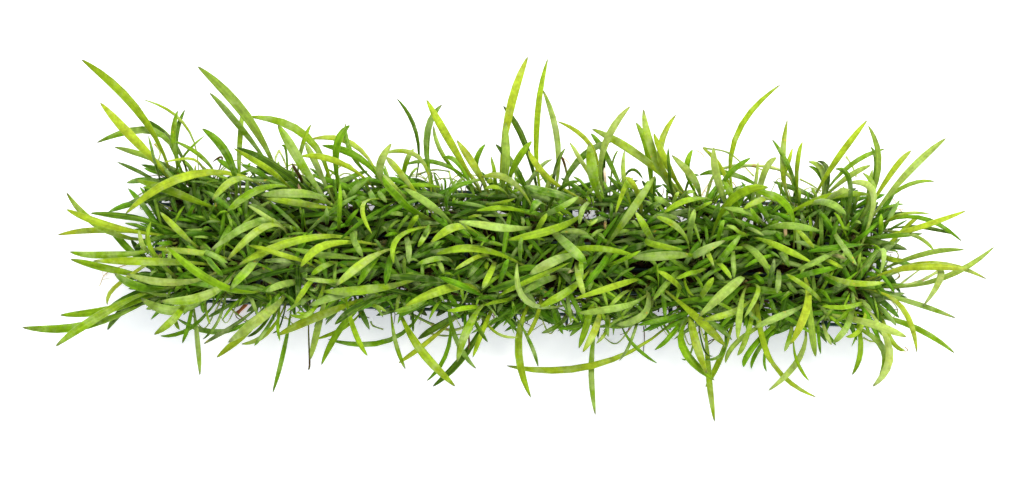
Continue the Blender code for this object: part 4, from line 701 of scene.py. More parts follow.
# Blades deep in the turf
LOW_BLADES = [Blade(*row) for row in (
    (-69.8, 5.6, -74, 5.7, -77.7, 5.4, 1.0, 4, 1), (-68, 3.2, -71, 3.4, -74.3, 3.3, 0.9, 4, 4),
    (-67.9, 1.7, -70, 1.8, -72.3, 1.7, 0.8, 4, 4), (-66.5, 0.1, -65.9, 4, -65.5, 8.2, 1.3, 5, 1),
    (-65, 8.2, -64.4, 6.2, -63.6, 4.2, 0.9, 5, 2), (-79.3, 5.2, -80.8, 7.1, -82.4, 9, 1.2, 4, 1),
    (-77.4, 11.2, -77, 9.2, -76.2, 7.2, 1.5, 4, 0), (-73.8, 6.6, -73, 8, -72.2, 9.3, 1.3, 4, 1),
    (-70.8, 9.2, -69.8, 7, -68.6, 5, 1.4, 4, 0), (-62, 0.2, -61.1, -1.4, -60, -3.2, 1.1, 5, 1),
    (-77.5, -5.6, -77.1, -7.3, -76.5, -9.2, 1.3, 4, 4), (-75.3, -7.5, -73.3, -7.4, -71.3, -7.7, 1.0, 4, 1),
    (-73.6, -8.4, -73, -9.6, -72.2, -10.7, 1.0, 4, 1), (-76.2, -11.8, -79, -11.6, -82, -11.1, 1.1, 5, 4),
    (-69.4, -12.4, -69.2, -14, -68.9, -15.6, 1.4, 4, 1), (-66.6, -11.4, -66.9, -13, -67.2, -14.7, 0.6, 4, 0),
    (-76, -15.8, -75, -17.6, -74, -19.5, 1.3, 4, 2), (-79.6, -5, -80.4, -6.2, -81.2, -7.6, 1.0, 4, 4),
    (-76.5, 0.2, -78.4, 0.1, -80.3, -0.2, 1.4, 4, 1), (-42.6, 5.6, -42.8, 7.7, -42.9, 9.8, 1.3, 5, 1),
    (-48, 5.4, -48.1, 7.3, -48.1, 9.2, 1.0, 5, 0), (-39.1, 5.2, -37.3, 7.6, -35.7, 9.7, 1.3, 5, 1),
    (-27, 11.6, -33.5, 7.3, -39.7, 1.3, 1.2, 5, 1), (-47.5, 1.9, -51.5, 2, -55.5, 1, 1.2, 5, 4),
    (-55.7, 2.5, -57.2, 3.1, -58.5, 3.5, 1.2, 4, 0), (-50, 3.3, -50.5, 4.3, -50.8, 5.2, 0.8, 5, 1),
    (-40.1, -2.2, -40.3, -5, -40.5, -8, 1.1, 5, 4), (-47.3, -4.2, -47.1, -5.6, -46.7, -7, 1.6, 5, 1),
    (-45.4, -2.4, -44, -3, -42.6, -3.9, 0.9, 5, 3), (-51.2, -3.2, -53.2, -2.8, -55.3, -2.7, 1.0, 4, 4),
    (-48.4, -7.4, -49.8, -8.2, -51, -9, 1.2, 4, 4), (-46.2, -10.4, -46.8, -11.8, -47.4, -13, 1.4, 5, 4),
    (-43.5, -9.6, -44.6, -9.3, -45.8, -9.1, 1.0, 5, 4), (-31.6, -6, -31, -7.2, -30, -8.2, 1.3, 4, 1),
    (-32.3, -12, -30.4, -12.7, -28.5, -13.6, 1.2, 5, 3), (-44, -14.4, -46.3, -14.7, -48.5, -14.5, 1.0, 5, 3),
    (-33.5, 14.2, -32.8, 12.4, -31.7, 10.6, 1.8, 5, 1), (-31.8, 14.3, -30.8, 12.8, -29.5, 11.2, 1.6, 5, 2),
    (-36.9, 13.2, -36.2, 11.4, -35.3, 9.6, 1.3, 5, 1), (-35, 10.9, -36.6, 11.4, -38, 11.6, 0.7, 4, 2),
    (-19.3, 10.3, -17.6, 7.6, -15, 5.9, 1.6, 5, 1), (-11.6, 8.3, -10, 8.9, -8.2, 9.2, 1.0, 5, 3),
    (-0.5, 9.2, -4.4, 9.4, -8.2, 9, 0.9, 5, 4), (-14.2, 5.8, -12.3, 5.2, -10.5, 4, 1.3, 5, 1),
    (-17.2, 4.2, -14.4, 3.6, -11.7, 2.4, 1.8, 4, 0), (-10.5, 5.2, -10.5, 3.7, -10.2, 2.3, 0.7, 5, 4),
    (-9.8, 4.2, -8.2, 3.8, -6.4, 3.1, 1.6, 4, 1), (-8, 2.9, -5.5, 2.9, -3, 2.4, 1.2, 5, 2),
    (-6, 5.6, -5.7, 4.2, -5.2, 2.8, 1.0, 4, 1), (-26.8, 1.8, -24.7, 2.3, -22.4, 2.4, 1.1, 5, 2),
    (-26.3, 4.8, -28, 4.2, -29.7, 3.5, 1.2, 4, 1), (-25, 8, -27, 8.7, -29.2, 8.9, 1.5, 4, 4),
    (-20.6, 10.9, -20.5, 9.7, -20.2, 8.5, 0.8, 5, 1), (-19.1, -2.3, -18.4, -3.5, -17.4, -4.7, 1.0, 4, 1),
    (-6.7, -1.2, -6.8, -2.2, -6.6, -3.3, 1.2, 4, 3), (-2.7, -0.6, -2.7, -2.2, -2.4, -3.9, 0.8, 4, 1),
    (-15.6, -9.5, -14.3, -10.1, -12.9, -11.2, 1.4, 4, 1), (-10.6, -7.9, -11.2, -9.6, -11.9, -11.4, 0.7, 4, 4),
    (0.4, -9.5, -3.4, -10.2, -7.2, -11.5, 1.2, 5, 3), (-0.2, -10.8, -0.5, -12.4, -0.8, -14.1, 1.0, 5, 1),
    (-11, -14.2, -11, -15.6, -10.9, -17, 1.0, 4, 1), (-23, 10.8, -23.8, 9.6, -24.8, 8.8, 1.2, 4, 0),
    (16.7, 5.1, 12.8, 6.4, 9, 5.8, 1.7, 5, 4), (17, 5.9, 18, 5.9, 19.2, 4.7, 1.0, 5, 4),
    (19.6, 5.2, 22.3, 6.4, 24.9, 7, 1.4, 5, 2), (17.6, 3.6, 25, 5, 31.3, 7.7, 1.5, 5, 4),
    (16.3, 4.3, 20.4, 4.6, 24.6, 4.4, 1.2, 4, 1), (24.8, 9.8, 25.7, 8.9, 26.8, 7.6, 1.2, 5, 4),
    (14, 0.3, 14.2, -2.4, 14.4, -5.4, 1.6, 5, 2), (16.6, -3, 16.5, -5, 16.1, -7.2, 1.4, 5, 2),
    (25.5, -4, 27.2, -3.2, 29.2, -1.9, 1.2, 4, 0), (23.9, -4, 24.1, -4.8, 24.2, -5.8, 0.9, 4, 2),
    (24.8, -3.7, 26.8, -4.4, 29, -5.4, 1.4, 4, 1), (1, 2.9, 2.2, 1.3, 3.4, -0.6, 1.2, 4, 0),
    (1.6, 10.2, 2, 8, 2.7, 5.7, 1.3, 4, 1), (0.6, 9.4, 0.9, 8.3, 1.1, 7, 1.2, 4, 4),
    (6.2, 10.2, 7.9, 10.9, 9.8, 9.8, 0.8, 5, 3), (10.9, -7, 11.8, -10.8, 12.4, -14.8, 1.2, 5, 4),
    (8.2, -6.8, 7.2, -7.9, 6, -9.1, 1.2, 4, 1), (16.1, -11.2, 16.6, -13.4, 16.9, -15.8, 1.8, 5, 1),
    (31, -11.5, 26, -12.4, 20.8, -13.6, 1.7, 5, 4), (28.4, 7.1, 30.8, 8, 33.4, 8.3, 1.3, 5, 2),
    (36, 9.4, 33.3, 10.6, 30.4, 10.8, 1.5, 5, 4), (32.9, 12, 33.7, 10.9, 34.6, 9.7, 1.3, 4, 1),
    (40.4, 11.2, 42.2, 9.8, 43.8, 7.8, 1.4, 4, 0), (43.6, 9.7, 43.8, 12, 44.5, 14.3, 1.6, 5, 1),
    (48, 6.8, 49.8, 9.3, 47.6, 10.7, 1.1, 5, 4), (50, 8.6, 52.3, 8.1, 54.7, 6.8, 1.2, 5, 4),
    (54.3, 12.1, 57, 11.2, 59.7, 9.6, 1.4, 5, 1), (56.4, 8.1, 57.5, 7.2, 58.8, 5.9, 1.4, 4, 1),
    (52.4, -2.2, 53.6, -2.8, 55, -4.1, 1.6, 4, 1), (48.2, -4.3, 47, -4, 45.6, -4.1, 0.9, 4, 4),
    (43.2, -2.2, 44.8, -2.8, 46.4, -4.1, 1.6, 4, 0), (37.4, -3.6, 38, -6.2, 39.4, -7.4, 0.9, 5, 3),
    (31.4, -7.4, 32.9, -7.8, 34.6, -9, 0.9, 4, 4), (27.1, -3.1, 30, -1.8, 33.2, 0.5, 1.3, 4, 1),
    (50.7, -10.9, 52.2, -11.3, 54, -12.3, 1.3, 5, 1), (41.8, 5.6, 43.8, 6.4, 45.8, 6.8, 1.0, 4, 1),
    (31.2, 5.4, 33.2, 5.6, 35.2, 5.2, 1.0, 4, 1), (58.2, 4.4, 59.3, 2.7, 60.1, 0.8, 1.4, 4, 4),
    (54.7, -6.6, 54.5, -8.4, 54, -10.2, 0.9, 4, 4), (55.7, -7, 56.7, -8.4, 57.5, -10, 1.2, 4, 1),
    (62.9, 1.3, 62.2, 6, 61, 11.8, 1.4, 5, 4), (65, 6.3, 64.9, 9, 64.6, 11.9, 1.0, 5, 2),
    (67.7, 5.1, 67.2, 9, 67.1, 12.7, 1.3, 5, 4), (66, 13, 68, 11.6, 69.9, 9, 1.5, 5, 1),
    (73.4, 5.9, 76.8, 8, 80.3, 11.4, 1.4, 5, 1), (76.6, 7.8, 77, 10.8, 78.1, 14.1, 1.5, 5, 1),
    (80.9, 7.6, 80.5, 10.3, 80.5, 13, 1.5, 5, 2), (82, 6, 82.8, 6.3, 83.7, 6.2, 1.3, 4, 4),
    (80.6, 1.8, 83.3, 2.5, 85.9, 2.6, 1.6, 5, 3), (77.1, -0.8, 78.4, -0.9, 79.8, -1.4, 1.6, 4, 1),
    (70, -2, 73, -2.6, 75.7, -0.3, 0.8, 5, 2), (73.1, 4, 72.2, 2.9, 71.7, 1.1, 1.2, 4, 4),
    (56.3, 7.2, 58.4, 6.4, 60.5, 4.9, 1.8, 4, 1), (58, 3.7, 59, 2.2, 60.4, -0.2, 1.5, 4, 1),
    (61.5, -5.2, 60.3, -6.2, 58.5, -8.2, 0.6, 5, 2), (59.5, -3.8, 60.8, -4.6, 62.4, -6, 1.6, 4, 1),
    (65.3, -6.6, 68, -5.4, 69.8, -8, 1.1, 5, 2), (65.6, -2.7, 65.9, -4, 66.1, -5.7, 1.2, 4, 4),
    (67.8, -2.5, 70, -3, 72.5, -4.2, 1.7, 4, 1), (74.3, -5, 74.7, -7.2, 74.9, -9.6, 1.2, 5, 1),
    (75.4, -8.9, 73.3, -10.2, 70.7, -12.2, 1.6, 5, 2), (75.8, -7.5, 77.5, -8, 78.8, -9.4, 1.4, 5, 4),
    (74, 11, 75.1, 10.9, 76.2, 10.4, 1.0, 4, 4), (69.2, 2.9, 71, 2.9, 72.8, 2.3, 1.2, 4, 5),
    (59.4, 9, 59.3, 7.9, 59.1, 6.8, 1.1, 4, 5), (19.3, 9.2, 19.2, 8.1, 19.3, 6.8, 0.9, 4, 5),
    (-44.7, 3, -43.6, 3.2, -42.6, 2.9, 0.8, 4, 5), (13, -3.4, 12.2, -2.8, 11.2, -3.3, 0.9, 4, 5),
    (-66.5, 15.5, -71.5, 20.4, -78, 23.8, 1.3, 1, 2), (-77.5, 17.5, -74.5, 21.5, -71, 25.1, 0.8, 1, 2),
    (-70.3, 15.5, -74, 19.6, -80, 18.6, 0.9, 1, 3), (-73.3, 15.6, -74, 17.2, -74.5, 18.8, 0.5, 4, 1),
    (-72.6, 15.5, -72.6, 17, -72.6, 18.3, 0.6, 4, 3), (-80.5, 16, -82.3, 20.5, -83.6, 24.8, 0.9, 1, 1),
    (-65, 19, -66.8, 20.3, -69, 19, 0.7, 4, 6), (-52, 22.6, -52.8, 23, -53.7, 23.3, 0.8, 4, 1),
    (-61, 17.5, -60.7, 18.3, -60.3, 19.2, 0.8, 4, 1), (-48.3, 15.3, -49.7, 17.2, -51.2, 19.6, 1.2, 5, 6),
    (-50.5, 13.5, -51.6, 14.5, -53, 15.4, 0.9, 4, 7), (-48.5, 12.5, -49, 13.5, -49.5, 14.9, 0.9, 4, 5),
    (-26.5, 19, -25.4, 21.4, -24.1, 23.9, 1.6, 5, 2), (-16.3, 15.5, -16.8, 16.3, -17.3, 17.1, 0.7, 4, 1),
    (-5.5, 17.4, -6.5, 17.1, -7.5, 16.6, 1.6, 4, 3), (9.9, 21.6, 9.4, 22.4, 8.9, 23.3, 0.8, 4, 6),
    (18.6, 21, 18.4, 22.3, 18.2, 23.7, 1.2, 4, 0), (19, 17.5, 18.8, 19.3, 18.6, 21.2, 0.8, 4, 7),
    (20, 22, 20.7, 23.6, 21.6, 25.2, 0.6, 4, 2), (21.5, 19.8, 25, 21, 27.3, 18.8, 1.0, 5, 0),
    (5.5, 16, 6.4, 17.5, 7.6, 19.4, 1.5, 4, 4), (36.5, 19.5, 38.2, 19.8, 39.8, 20.2, 1.0, 4, 1),
    (47.5, 16.4, 48.3, 17.3, 49.3, 18.2, 0.9, 4, 1), (52.5, 18, 54.6, 22.2, 57, 25, 2.0, 5, 4),
    (61, 15.5, 61.5, 19.5, 61.7, 23, 1.3, 5, 1), (69.3, 18.5, 66.6, 21.6, 64.1, 23.3, 1.3, 5, 1),
    (-68.2, -15, -67.9, -16.6, -67.3, -18, 0.8, 4, 2), (-78, -13.8, -80, -14.4, -81.7, -15.1, 1.4, 4, 4),
    (-44.8, -24.8, -45, -26, -45.1, -27.2, 0.6, 4, 6), (-50.8, -17.2, -52.2, -18.4, -53.5, -19.5, 0.6, 4, 0),
    (-22.6, -14, -22.5, -16, -22.4, -18, 0.9, 4, 0), (-10.1, -19.4, -10, -20.3, -9.9, -21.3, 0.6, 4, 6),
    (54, -17, 55.3, -21, 55.9, -24, 0.9, 5, 1), (40, -20.8, 38.6, -21.4, 37, -21.7, 0.7, 4, 1),
    (40.5, -18.6, 42.2, -20, 44, -20.9, 0.6, 4, 0), (29.5, -12.2, 24, -13.6, 17.8, -14.6, 1.7, 5, 1),
    (33.5, -12, 29, -13.2, 23.5, -13.8, 1.6, 5, 0), (35.5, -12.2, 31.5, -13.4, 27, -14.6, 1.6, 5, 1),
    (24, -11.8, 19.5, -13.2, 14, -14, 1.5, 5, 0), (20, -12.8, 15.5, -14.6, 10.5, -15.7, 1.5, 5, 0),
    (31, -13, 26, -14.4, 20.5, -15.3, 1.3, 5, 4),
)]

# How a blade is moved until it clears the blades already laid: its bend and tip up or down the lines of
# sight, and its tip aside.
HEIGHT_CHANGES = (0.0, 0.8, -0.8, 1.6, -1.6, 2.4, -2.4, 3.4, -3.4, 4.6, 6.0, 7.6, -4.6, 9.4)
TURNS = (0.0, 0.7, -0.7, 1.4, -1.4)
LOWEST_TIP = 0.8
# How far off a crown seems for each blade it carries already, and where its blades part from one another
CROWDING = 1.3
OUTER_START = 0.14
# Where along a blade it lies level across, and the least and most share of its length at its bend
LEVEL_AT = 0.65
LEAST_BEND = 0.38
MOST_BEND = 0.64
# A cross-section further along than this is the tip
AT_TIP = 0.999
# A small blade springs from within this of its crown, and this much lower. Where it would reach above the
# highest, it is laid lower by this much for each millimetre over.
SMALL_REACH_X = 5.7
SMALL_REACH_Y = 2.4
SMALL_DROP = 0.8
HIGHEST_SMALL = 27.0
LOWERED_BY = 1.6


def sight(x, y, z):
    """The place at height z that is seen over the ground mark x, y."""
    ground = Vector((x, y, 0.0))
    return ground.lerp(VIEWPOINT, z / VIEWPOINT.z)


def ground_mark(place):
    """The ground mark that a place is seen over."""
    return VIEWPOINT + (place - VIEWPOINT) * VIEWPOINT.z / (VIEWPOINT.z - place.z)


def crown_places():
    """A plant's name and place for every second cell, a to e from the front and 1 to 14 from the left."""
    places = {}
    for column in range(COLUMNS):
        for row in range(ROWS):
            if (column + row) % 2 == 0:
                x = (column - (COLUMNS - 1) / 2) * PITCH_X
                y = (row - (ROWS - 1) / 2) * PITCH_Y
                places[f"plant_{'abcde'[row]}{column + 1:02d}"] = Vector((x, y, BLADE_FOOT_HEIGHT))
    return places


def share_out(blades, crowns):
    """Gives each blade to the nearest crown, with some shyness of crowns that carry many already."""
    shares = {name: [] for name in crowns}
    for blade in blades:
        foot = Vector((blade.foot_x, blade.foot_y, 0.0))
        shyness = {
            name: (ground_mark(place) - foot).length + CROWDING * len(shares[name])
            for name, place in crowns.items()
        }
        shares[min(crowns, key=lambda name: shyness[name])].append(blade)
    return shares


def blade_feet(crown, blades):
    """Where each blade springs from its crown: in the order of their tips, in a front and a back rank."""
    feet = {}
    for number, blade in enumerate(sorted(blades, key=lambda blade: blade.tip_x)):
        aside = FOOT_REACH_X * (2 * (number + 0.5) / len(blades) - 1)
        rank = FOOT_REACH_Y if blade.tip_y > ground_mark(crown).y else -FOOT_REACH_Y
        feet[blade] = crown + Vector((aside, rank, 0.0))
    return feet


def centre_line(foot, blade, change, turn):
    """The blade's middle line, three control points of a quadratic curve, at a changed height and turn."""
    stance = STANCES[blade.stance]
    bend_mark = Vector((blade.bend_x, blade.bend_y, 0.0))
    tip_mark = Vector((blade.tip_x, blade.tip_y, 0.0))
    reach = (bend_mark - ground_mark(foot)).length
    outer = (tip_mark - bend_mark).length
    standing = max((stance["length"] - outer) ** 2 - reach ** 2, 0.0)
    rise = max(math.sqrt(standing), stance["rise"]) + change
    bend_height = max(foot.z + rise, 2 * LOWEST_TIP)
    tip_height = max(bend_height + stance["slope"] * outer, LOWEST_TIP)
    aside = (tip_mark - bend_mark).cross(Vector((0.0, 0.0, 1.0))).normalized() * turn
    bend = sight(bend_mark.x + aside.x / 2, bend_mark.y + aside.y / 2, bend_height)
    tip = sight(tip_mark.x + aside.x, tip_mark.y + aside.y, tip_height)
    inner = (bend - foot).length
    share = min(max(inner / (inner + (tip - bend).length), LEAST_BEND), MOST_BEND)
    control = (bend - foot * (1 - share) ** 2 - tip * share ** 2) / (2 * share * (1 - share))
    return foot, control, tip


def along(line, t):
    """The place and the heading at t from 0 to 1 on a centre line."""
    foot, control, tip = line
    place = foot * (1 - t) ** 2 + control * (2 * t * (1 - t)) + tip * t ** 2
    heading = (control - foot) * (1 - t) + (tip - control) * t
    return place, heading.normalized()


def untwisted(line):
    """A function of t: the place on a line, its heading, and the directions aside and up there."""
    outward = along(line, LEVEL_AT)[1]
    level = outward.cross(Vector((0.0, 0.0, 1.0))).normalized()

    def directions(t):
        place, heading = along(line, t)
        side = outward.rotation_difference(heading) @ level
        return place, heading, side, side.cross(heading)

    return directions


def crest(line):
    """The greatest height of a centre line."""
    return max(along(line, step / 10)[0].z for step in range(11))


# Where a plain blade's cross-sections lie and how wide each is, as shares of its length and widest width
FULL_STATIONS = ((0.0, 0.2), (0.34, 0.5), (0.62, 1.0), (0.86, 0.82))
SHORT_STATIONS = ((0.0, 0.22), (0.48, 0.95), (0.82, 0.86))


def stations_for(blade):
    """High blades are long, and have one cross-section more."""
    return FULL_STATIONS if blade.stance > 1 else SHORT_STATIONS


def width_at(stations, t):
    """The share of the widest width at t, between the stations on either side."""
    for (t0, w0), (t1, w1) in zip(stations, stations[1:]):
        if t <= t1:
            return w0 + (w1 - w0) * (t - t0) / (t1 - t0)
    return stations[-1][1]


def cut_cone(sides, cuts):
    """A cone of height 1 on its base at 0, with a ring of edges at each cut."""
    bm = bmesh.new()
    bmesh.ops.create_cone(bm, cap_ends=True, segments=sides, radius1=1.0, radius2=0.0, depth=1.0)
    bmesh.ops.translate(bm, vec=(0.0, 0.0, 0.5), verts=bm.verts)
    for cut in cuts:
        bmesh.ops.bisect_plane(
            bm, geom=bm.verts[:] + bm.edges[:] + bm.faces[:], plane_co=(0, 0, cut), plane_no=(0, 0, 1)
        )
    return bm


def blade_body(line, width, stations, growth, start=0.0):
    """A plain blade: a three-sided cone, laid along its line with its keel down."""
    bm = cut_cone(3, [station for station, _ in stations[1:]])
    directions = untwisted(line)
    for vert in bm.verts:
        t = min(max(vert.co.z, start), 1.0)
        place, heading, side, lift = directions(t)
        if t > AT_TIP:
            vert.co = place + heading * growth
            continue
        corner = vert.co.xy.normalized()
        across = corner.x / math.cos(math.radians(30))
        half = BLADE_WIDTH_SHARE * width * width_at(stations, t) / 2 + growth
        depth = BLADE_THICKNESS / 1.5 + growth
        vert.co = place + side * (across * half) - lift * (corner.y * depth)
    bmesh.ops.triangulate(bm, faces=bm.faces)
    return bm


def crown_body(place, growth):
    """A crown with its short root stock: a six-sided frustum, long in x, that stands in its cell."""
    bm = bmesh.new()
    bmesh.ops.create_cone(
        bm, cap_ends=True, segments=CROWN_SIDES, radius1=1.0, radius2=CROWN_TAPER, depth=1.0
    )
    size = (CROWN_HALF_LENGTH + growth, CROWN_HALF_WIDTH + growth, CROWN_TOP - CROWN_BOTTOM + 2 * growth)
    bmesh.ops.scale(bm, vec=size, verts=bm.verts)
    bmesh.ops.translate(bm, vec=(place.x, place.y, (CROWN_TOP + CROWN_BOTTOM) / 2), verts=bm.verts)
    return bm


def strand_body(points, radius):
    """A runner's room: a straight rod from each of its points to the next."""
    bm = bmesh.new()
    route = smoothed(points, 2 * len(points) - 1)
    for start, end in zip(route, route[1:]):
        turned = (end - start).to_track_quat("Z", "Y").to_matrix().to_4x4()
        bmesh.ops.create_cone(
            bm, cap_ends=True, segments=6, radius1=radius, radius2=radius, depth=(end - start).length,
            matrix=Matrix.Translation((start + end) / 2) @ turned,
        )
    return bm


def block_body(length, width, bottom, top):
    """A block in the middle of the strip, between two heights."""
    bm = bmesh.new()
    bmesh.ops.create_cube(bm, size=1.0)
    bmesh.ops.scale(bm, vec=(length, width, top - bottom), verts=bm.verts)
    bmesh.ops.translate(bm, vec=(0.0, 0.0, (top + bottom) / 2), verts=bm.verts)
    return bm


class Obstacle:
    """A closed body that later blades keep clear of, with its bounds for a quick first test."""

    def __init__(self, bm, owner):
        self.low = Vector([min(vert.co[i] for vert in bm.verts) for i in range(3)])
        self.high = Vector([max(vert.co[i] for vert in bm.verts) for i in range(3)])
        self.tree = BVHTree.FromBMesh(bm)
        self.owner = owner
        bm.free()

    def meets(self, other):
        """Whether two bodies cross."""
        apart = any(self.low[i] > other.high[i] or other.low[i] > self.high[i] for i in range(3))
        return not apart and bool(self.tree.overlap(other.tree))

    def meets_others(self, obstacles):
        """Whether it meets anything that isn't its own plant's."""
        return any(self.meets(other) for other in obstacles if other.owner != self.owner)


def find_room(blade, name, foot, obstacles, siblings):
    """The first place of a blade that clears the other plants, at best also its own plant's blades."""
    crossing = None
    for turn in TURNS:
        for change in HEIGHT_CHANGES:
            line = centre_line(foot, blade, change, turn)
            body = Obstacle(blade_body(line, blade.width, stations_for(blade), CLEARANCE / 2), name)
            if body.meets_others(obstacles):
                continue
            outer = Obstacle(blade_body(line, blade.width, stations_for(blade), 0.0, OUTER_START), name)
            if not any(outer.meets(other) for other in siblings):
                return line, body, outer
            crossing = crossing or (line, body, outer)
    return crossing


def first_obstacles(crowns):
    """What is there before the blades: crowns, lattice, felt, runners, roots and the dead stem."""
    obstacles = [Obstacle(crown_body(place, CLEARANCE), name) for name, place in crowns.items()]
    lattice_length = COLUMNS * PITCH_X + CROSS_BAR_WIDTH + 2 * CLEARANCE
    lattice_width = ROWS * PITCH_Y + LONG_BAR_WIDTH + 2 * (SPRUE_LENGTH + CLEARANCE)
    lattice_top = LATTICE_BOTTOM + LATTICE_DEPTH + CLEARANCE
    lattice_room = block_body(lattice_length, lattice_width, LATTICE_BOTTOM - CLEARANCE, lattice_top)
    felt_width = FELT_WIDTH + 2 * (FELT_EDGE_WAVE + CLEARANCE)
    felt_room = block_body(FELT_LENGTH + 2 * CLEARANCE, felt_width, 0.0, FELT_HEIGHT + 2 * CLEARANCE)
    obstacles.append(Obstacle(lattice_room, "lattice"))
    obstacles.append(Obstacle(felt_room, "fibre_felt"))
    for name, points in RUNNERS.items():
        obstacles.append(Obstacle(strand_body(points, RUNNER_RADIUS + CLEARANCE), name))
    for name, points in ROOTS.items():
        obstacles.append(Obstacle(strand_body(points, ROOT_RADIUS + CLEARANCE), name))
    obstacles.append(Obstacle(strand_body(DEAD_STEM, DEAD_STEM_RADIUS + CLEARANCE), "dead_stem"))
    return obstacles


def topmost_first(blade):
    """Sorts the blades into the order in which they are laid."""
    return -blade.stance, -blade.width


def small_foot(blade, crowns):
    """The crown nearest to a small blade, and where the blade springs from near it."""
    mark = Vector((blade.foot_x, blade.foot_y, 0.0))
    name = min(crowns, key=lambda name: (ground_mark(crowns[name]) - mark).length)
    offset = mark - ground_mark(crowns[name])
    x = min(max(offset.x, -SMALL_REACH_X), SMALL_REACH_X)
    y = min(max(offset.y, -SMALL_REACH_Y), SMALL_REACH_Y)
    return name, crowns[name] + Vector((x, y, -SMALL_DROP))


def weave(crowns, obstacles):
    """Lays every blade of the rows, topmost first, each moved a little until it clears those before it."""
    shares = share_out(BLADES, crowns)
    feet = {name: blade_feet(crowns[name], blades) for name, blades in shares.items()}
    order = sorted(
        ((blade, name) for name, blades in shares.items() for blade in blades),
        key=lambda pair: topmost_first(pair[0]),
    )
    laid = {name: [] for name in crowns}
    siblings = {name: [] for name in crowns}
    for blade, name in order:
        found = find_room(blade, name, feet[name][blade], obstacles, siblings[name])
        if found is None:
            continue
        line, body, outer = found
        laid[name].append((blade, line))
        obstacles.append(body)
        siblings[name].append(outer)
    for blade in sorted(SMALL_BLADES, key=topmost_first) + sorted(LOW_BLADES, key=topmost_first):
        name, foot = small_foot(blade, crowns)
        found = find_room(blade, name, foot, obstacles, siblings[name])
        if found is None or crest(found[0]) > HIGHEST_SMALL:
            line = centre_line(foot, blade, 0.0, 0.0)
            excess = max(0.0, crest(line) - HIGHEST_SMALL)
            line = centre_line(foot, blade, -LOWERED_BY * excess, 0.0)
        else:
            line, body, outer = found
            obstacles.append(body)
            siblings[name].append(outer)
        laid[name].append((blade, line))
    return laid


# The finished blade's width along its length from foot to tip, and where its cross-sections are cut. A small
# one's narrow foot is hidden in the turf, and the long low ones fill the turf.
FINE_WIDTHS = (
    (0.0, 0.24), (0.15, 0.3), (0.28, 0.4), (0.38, 0.58), (0.5, 0.86), (0.6, 0.97), (0.72, 1.0),
    (0.82, 0.92), (0.9, 0.7), (0.96, 0.42), (0.985, 0.24), (1.0, 0.0),
)
SMALL_WIDTHS = (
    (0.0, 0.54), (0.2, 0.72), (0.4, 0.86), (0.6, 0.92), (0.74, 0.92), (0.85, 0.8), (0.92, 0.56), (0.97, 0.3),
    (1.0, 0.0),
)
LOW_WIDTHS = (
    (0.0, 0.26), (0.2, 0.4), (0.35, 0.62), (0.5, 0.88), (0.64, 1.0), (0.78, 0.96), (0.88, 0.74), (0.95, 0.42),
    (1.0, 0.0),
)
FINE_CUTS = (0.1, 0.23, 0.35, 0.46, 0.57, 0.68, 0.78, 0.87, 0.94, 0.98)
LOW_CUTS = (0.2, 0.42, 0.62, 0.78, 0.88, 0.95)
# A blade seen shorter than this has a small one's widths
SHORT_BLADE = 12.0
LEAF_THICKNESS = 0.42
# A blade whose half width is less than this is thinner too. These shares of its thickness lie above and below
# its middle, and the groove on top leaves this share of the upper one.
FULL_HALF_WIDTH = 0.9
UPPER_SHARE = 0.42
LOWER_SHARE = 0.58
GROOVE_SHARE = 0.72
TOP_CORNER = 0.9
# How blades differ: roll and twist in degrees, how far the rims are turned up as a share of the half width,
# round a level, and the height and number of its waves, which also sway it aside. One whose crest nears the
# calm height lies calmer.
MOST_ROLL = 9.0
MOST_TWIST = 30.0
CAMBERS = (-0.10, 0.16)
CAMBER_LEVEL = 0.4
WAVE_HEIGHTS = (0.0, 0.22)
WAVE_COUNTS = (0.8, 1.8)
SWAY_ASIDE = 0.5
CALM_ABOVE = 33.0
CALM_OVER = 6.0
# Each blade lies somewhere else on the skin's pattern, at most this far along it and this share aside
MOST_SHIFT = 400.0
SHIFT_ASIDE = 0.37


def blade_blank(sides, cuts):
    """A cone cut into the cross-sections of a blade, with the layers that its skin is coloured by."""
    bm = cut_cone(sides, cuts)
    bm.verts.layers.float_color.new("tone_colour")
    for layer in ("share", "across", "wear_and_sheen"):
        bm.verts.layers.float.new(layer)
    bm.loops.layers.uv.new("blade_mm")
    return bm


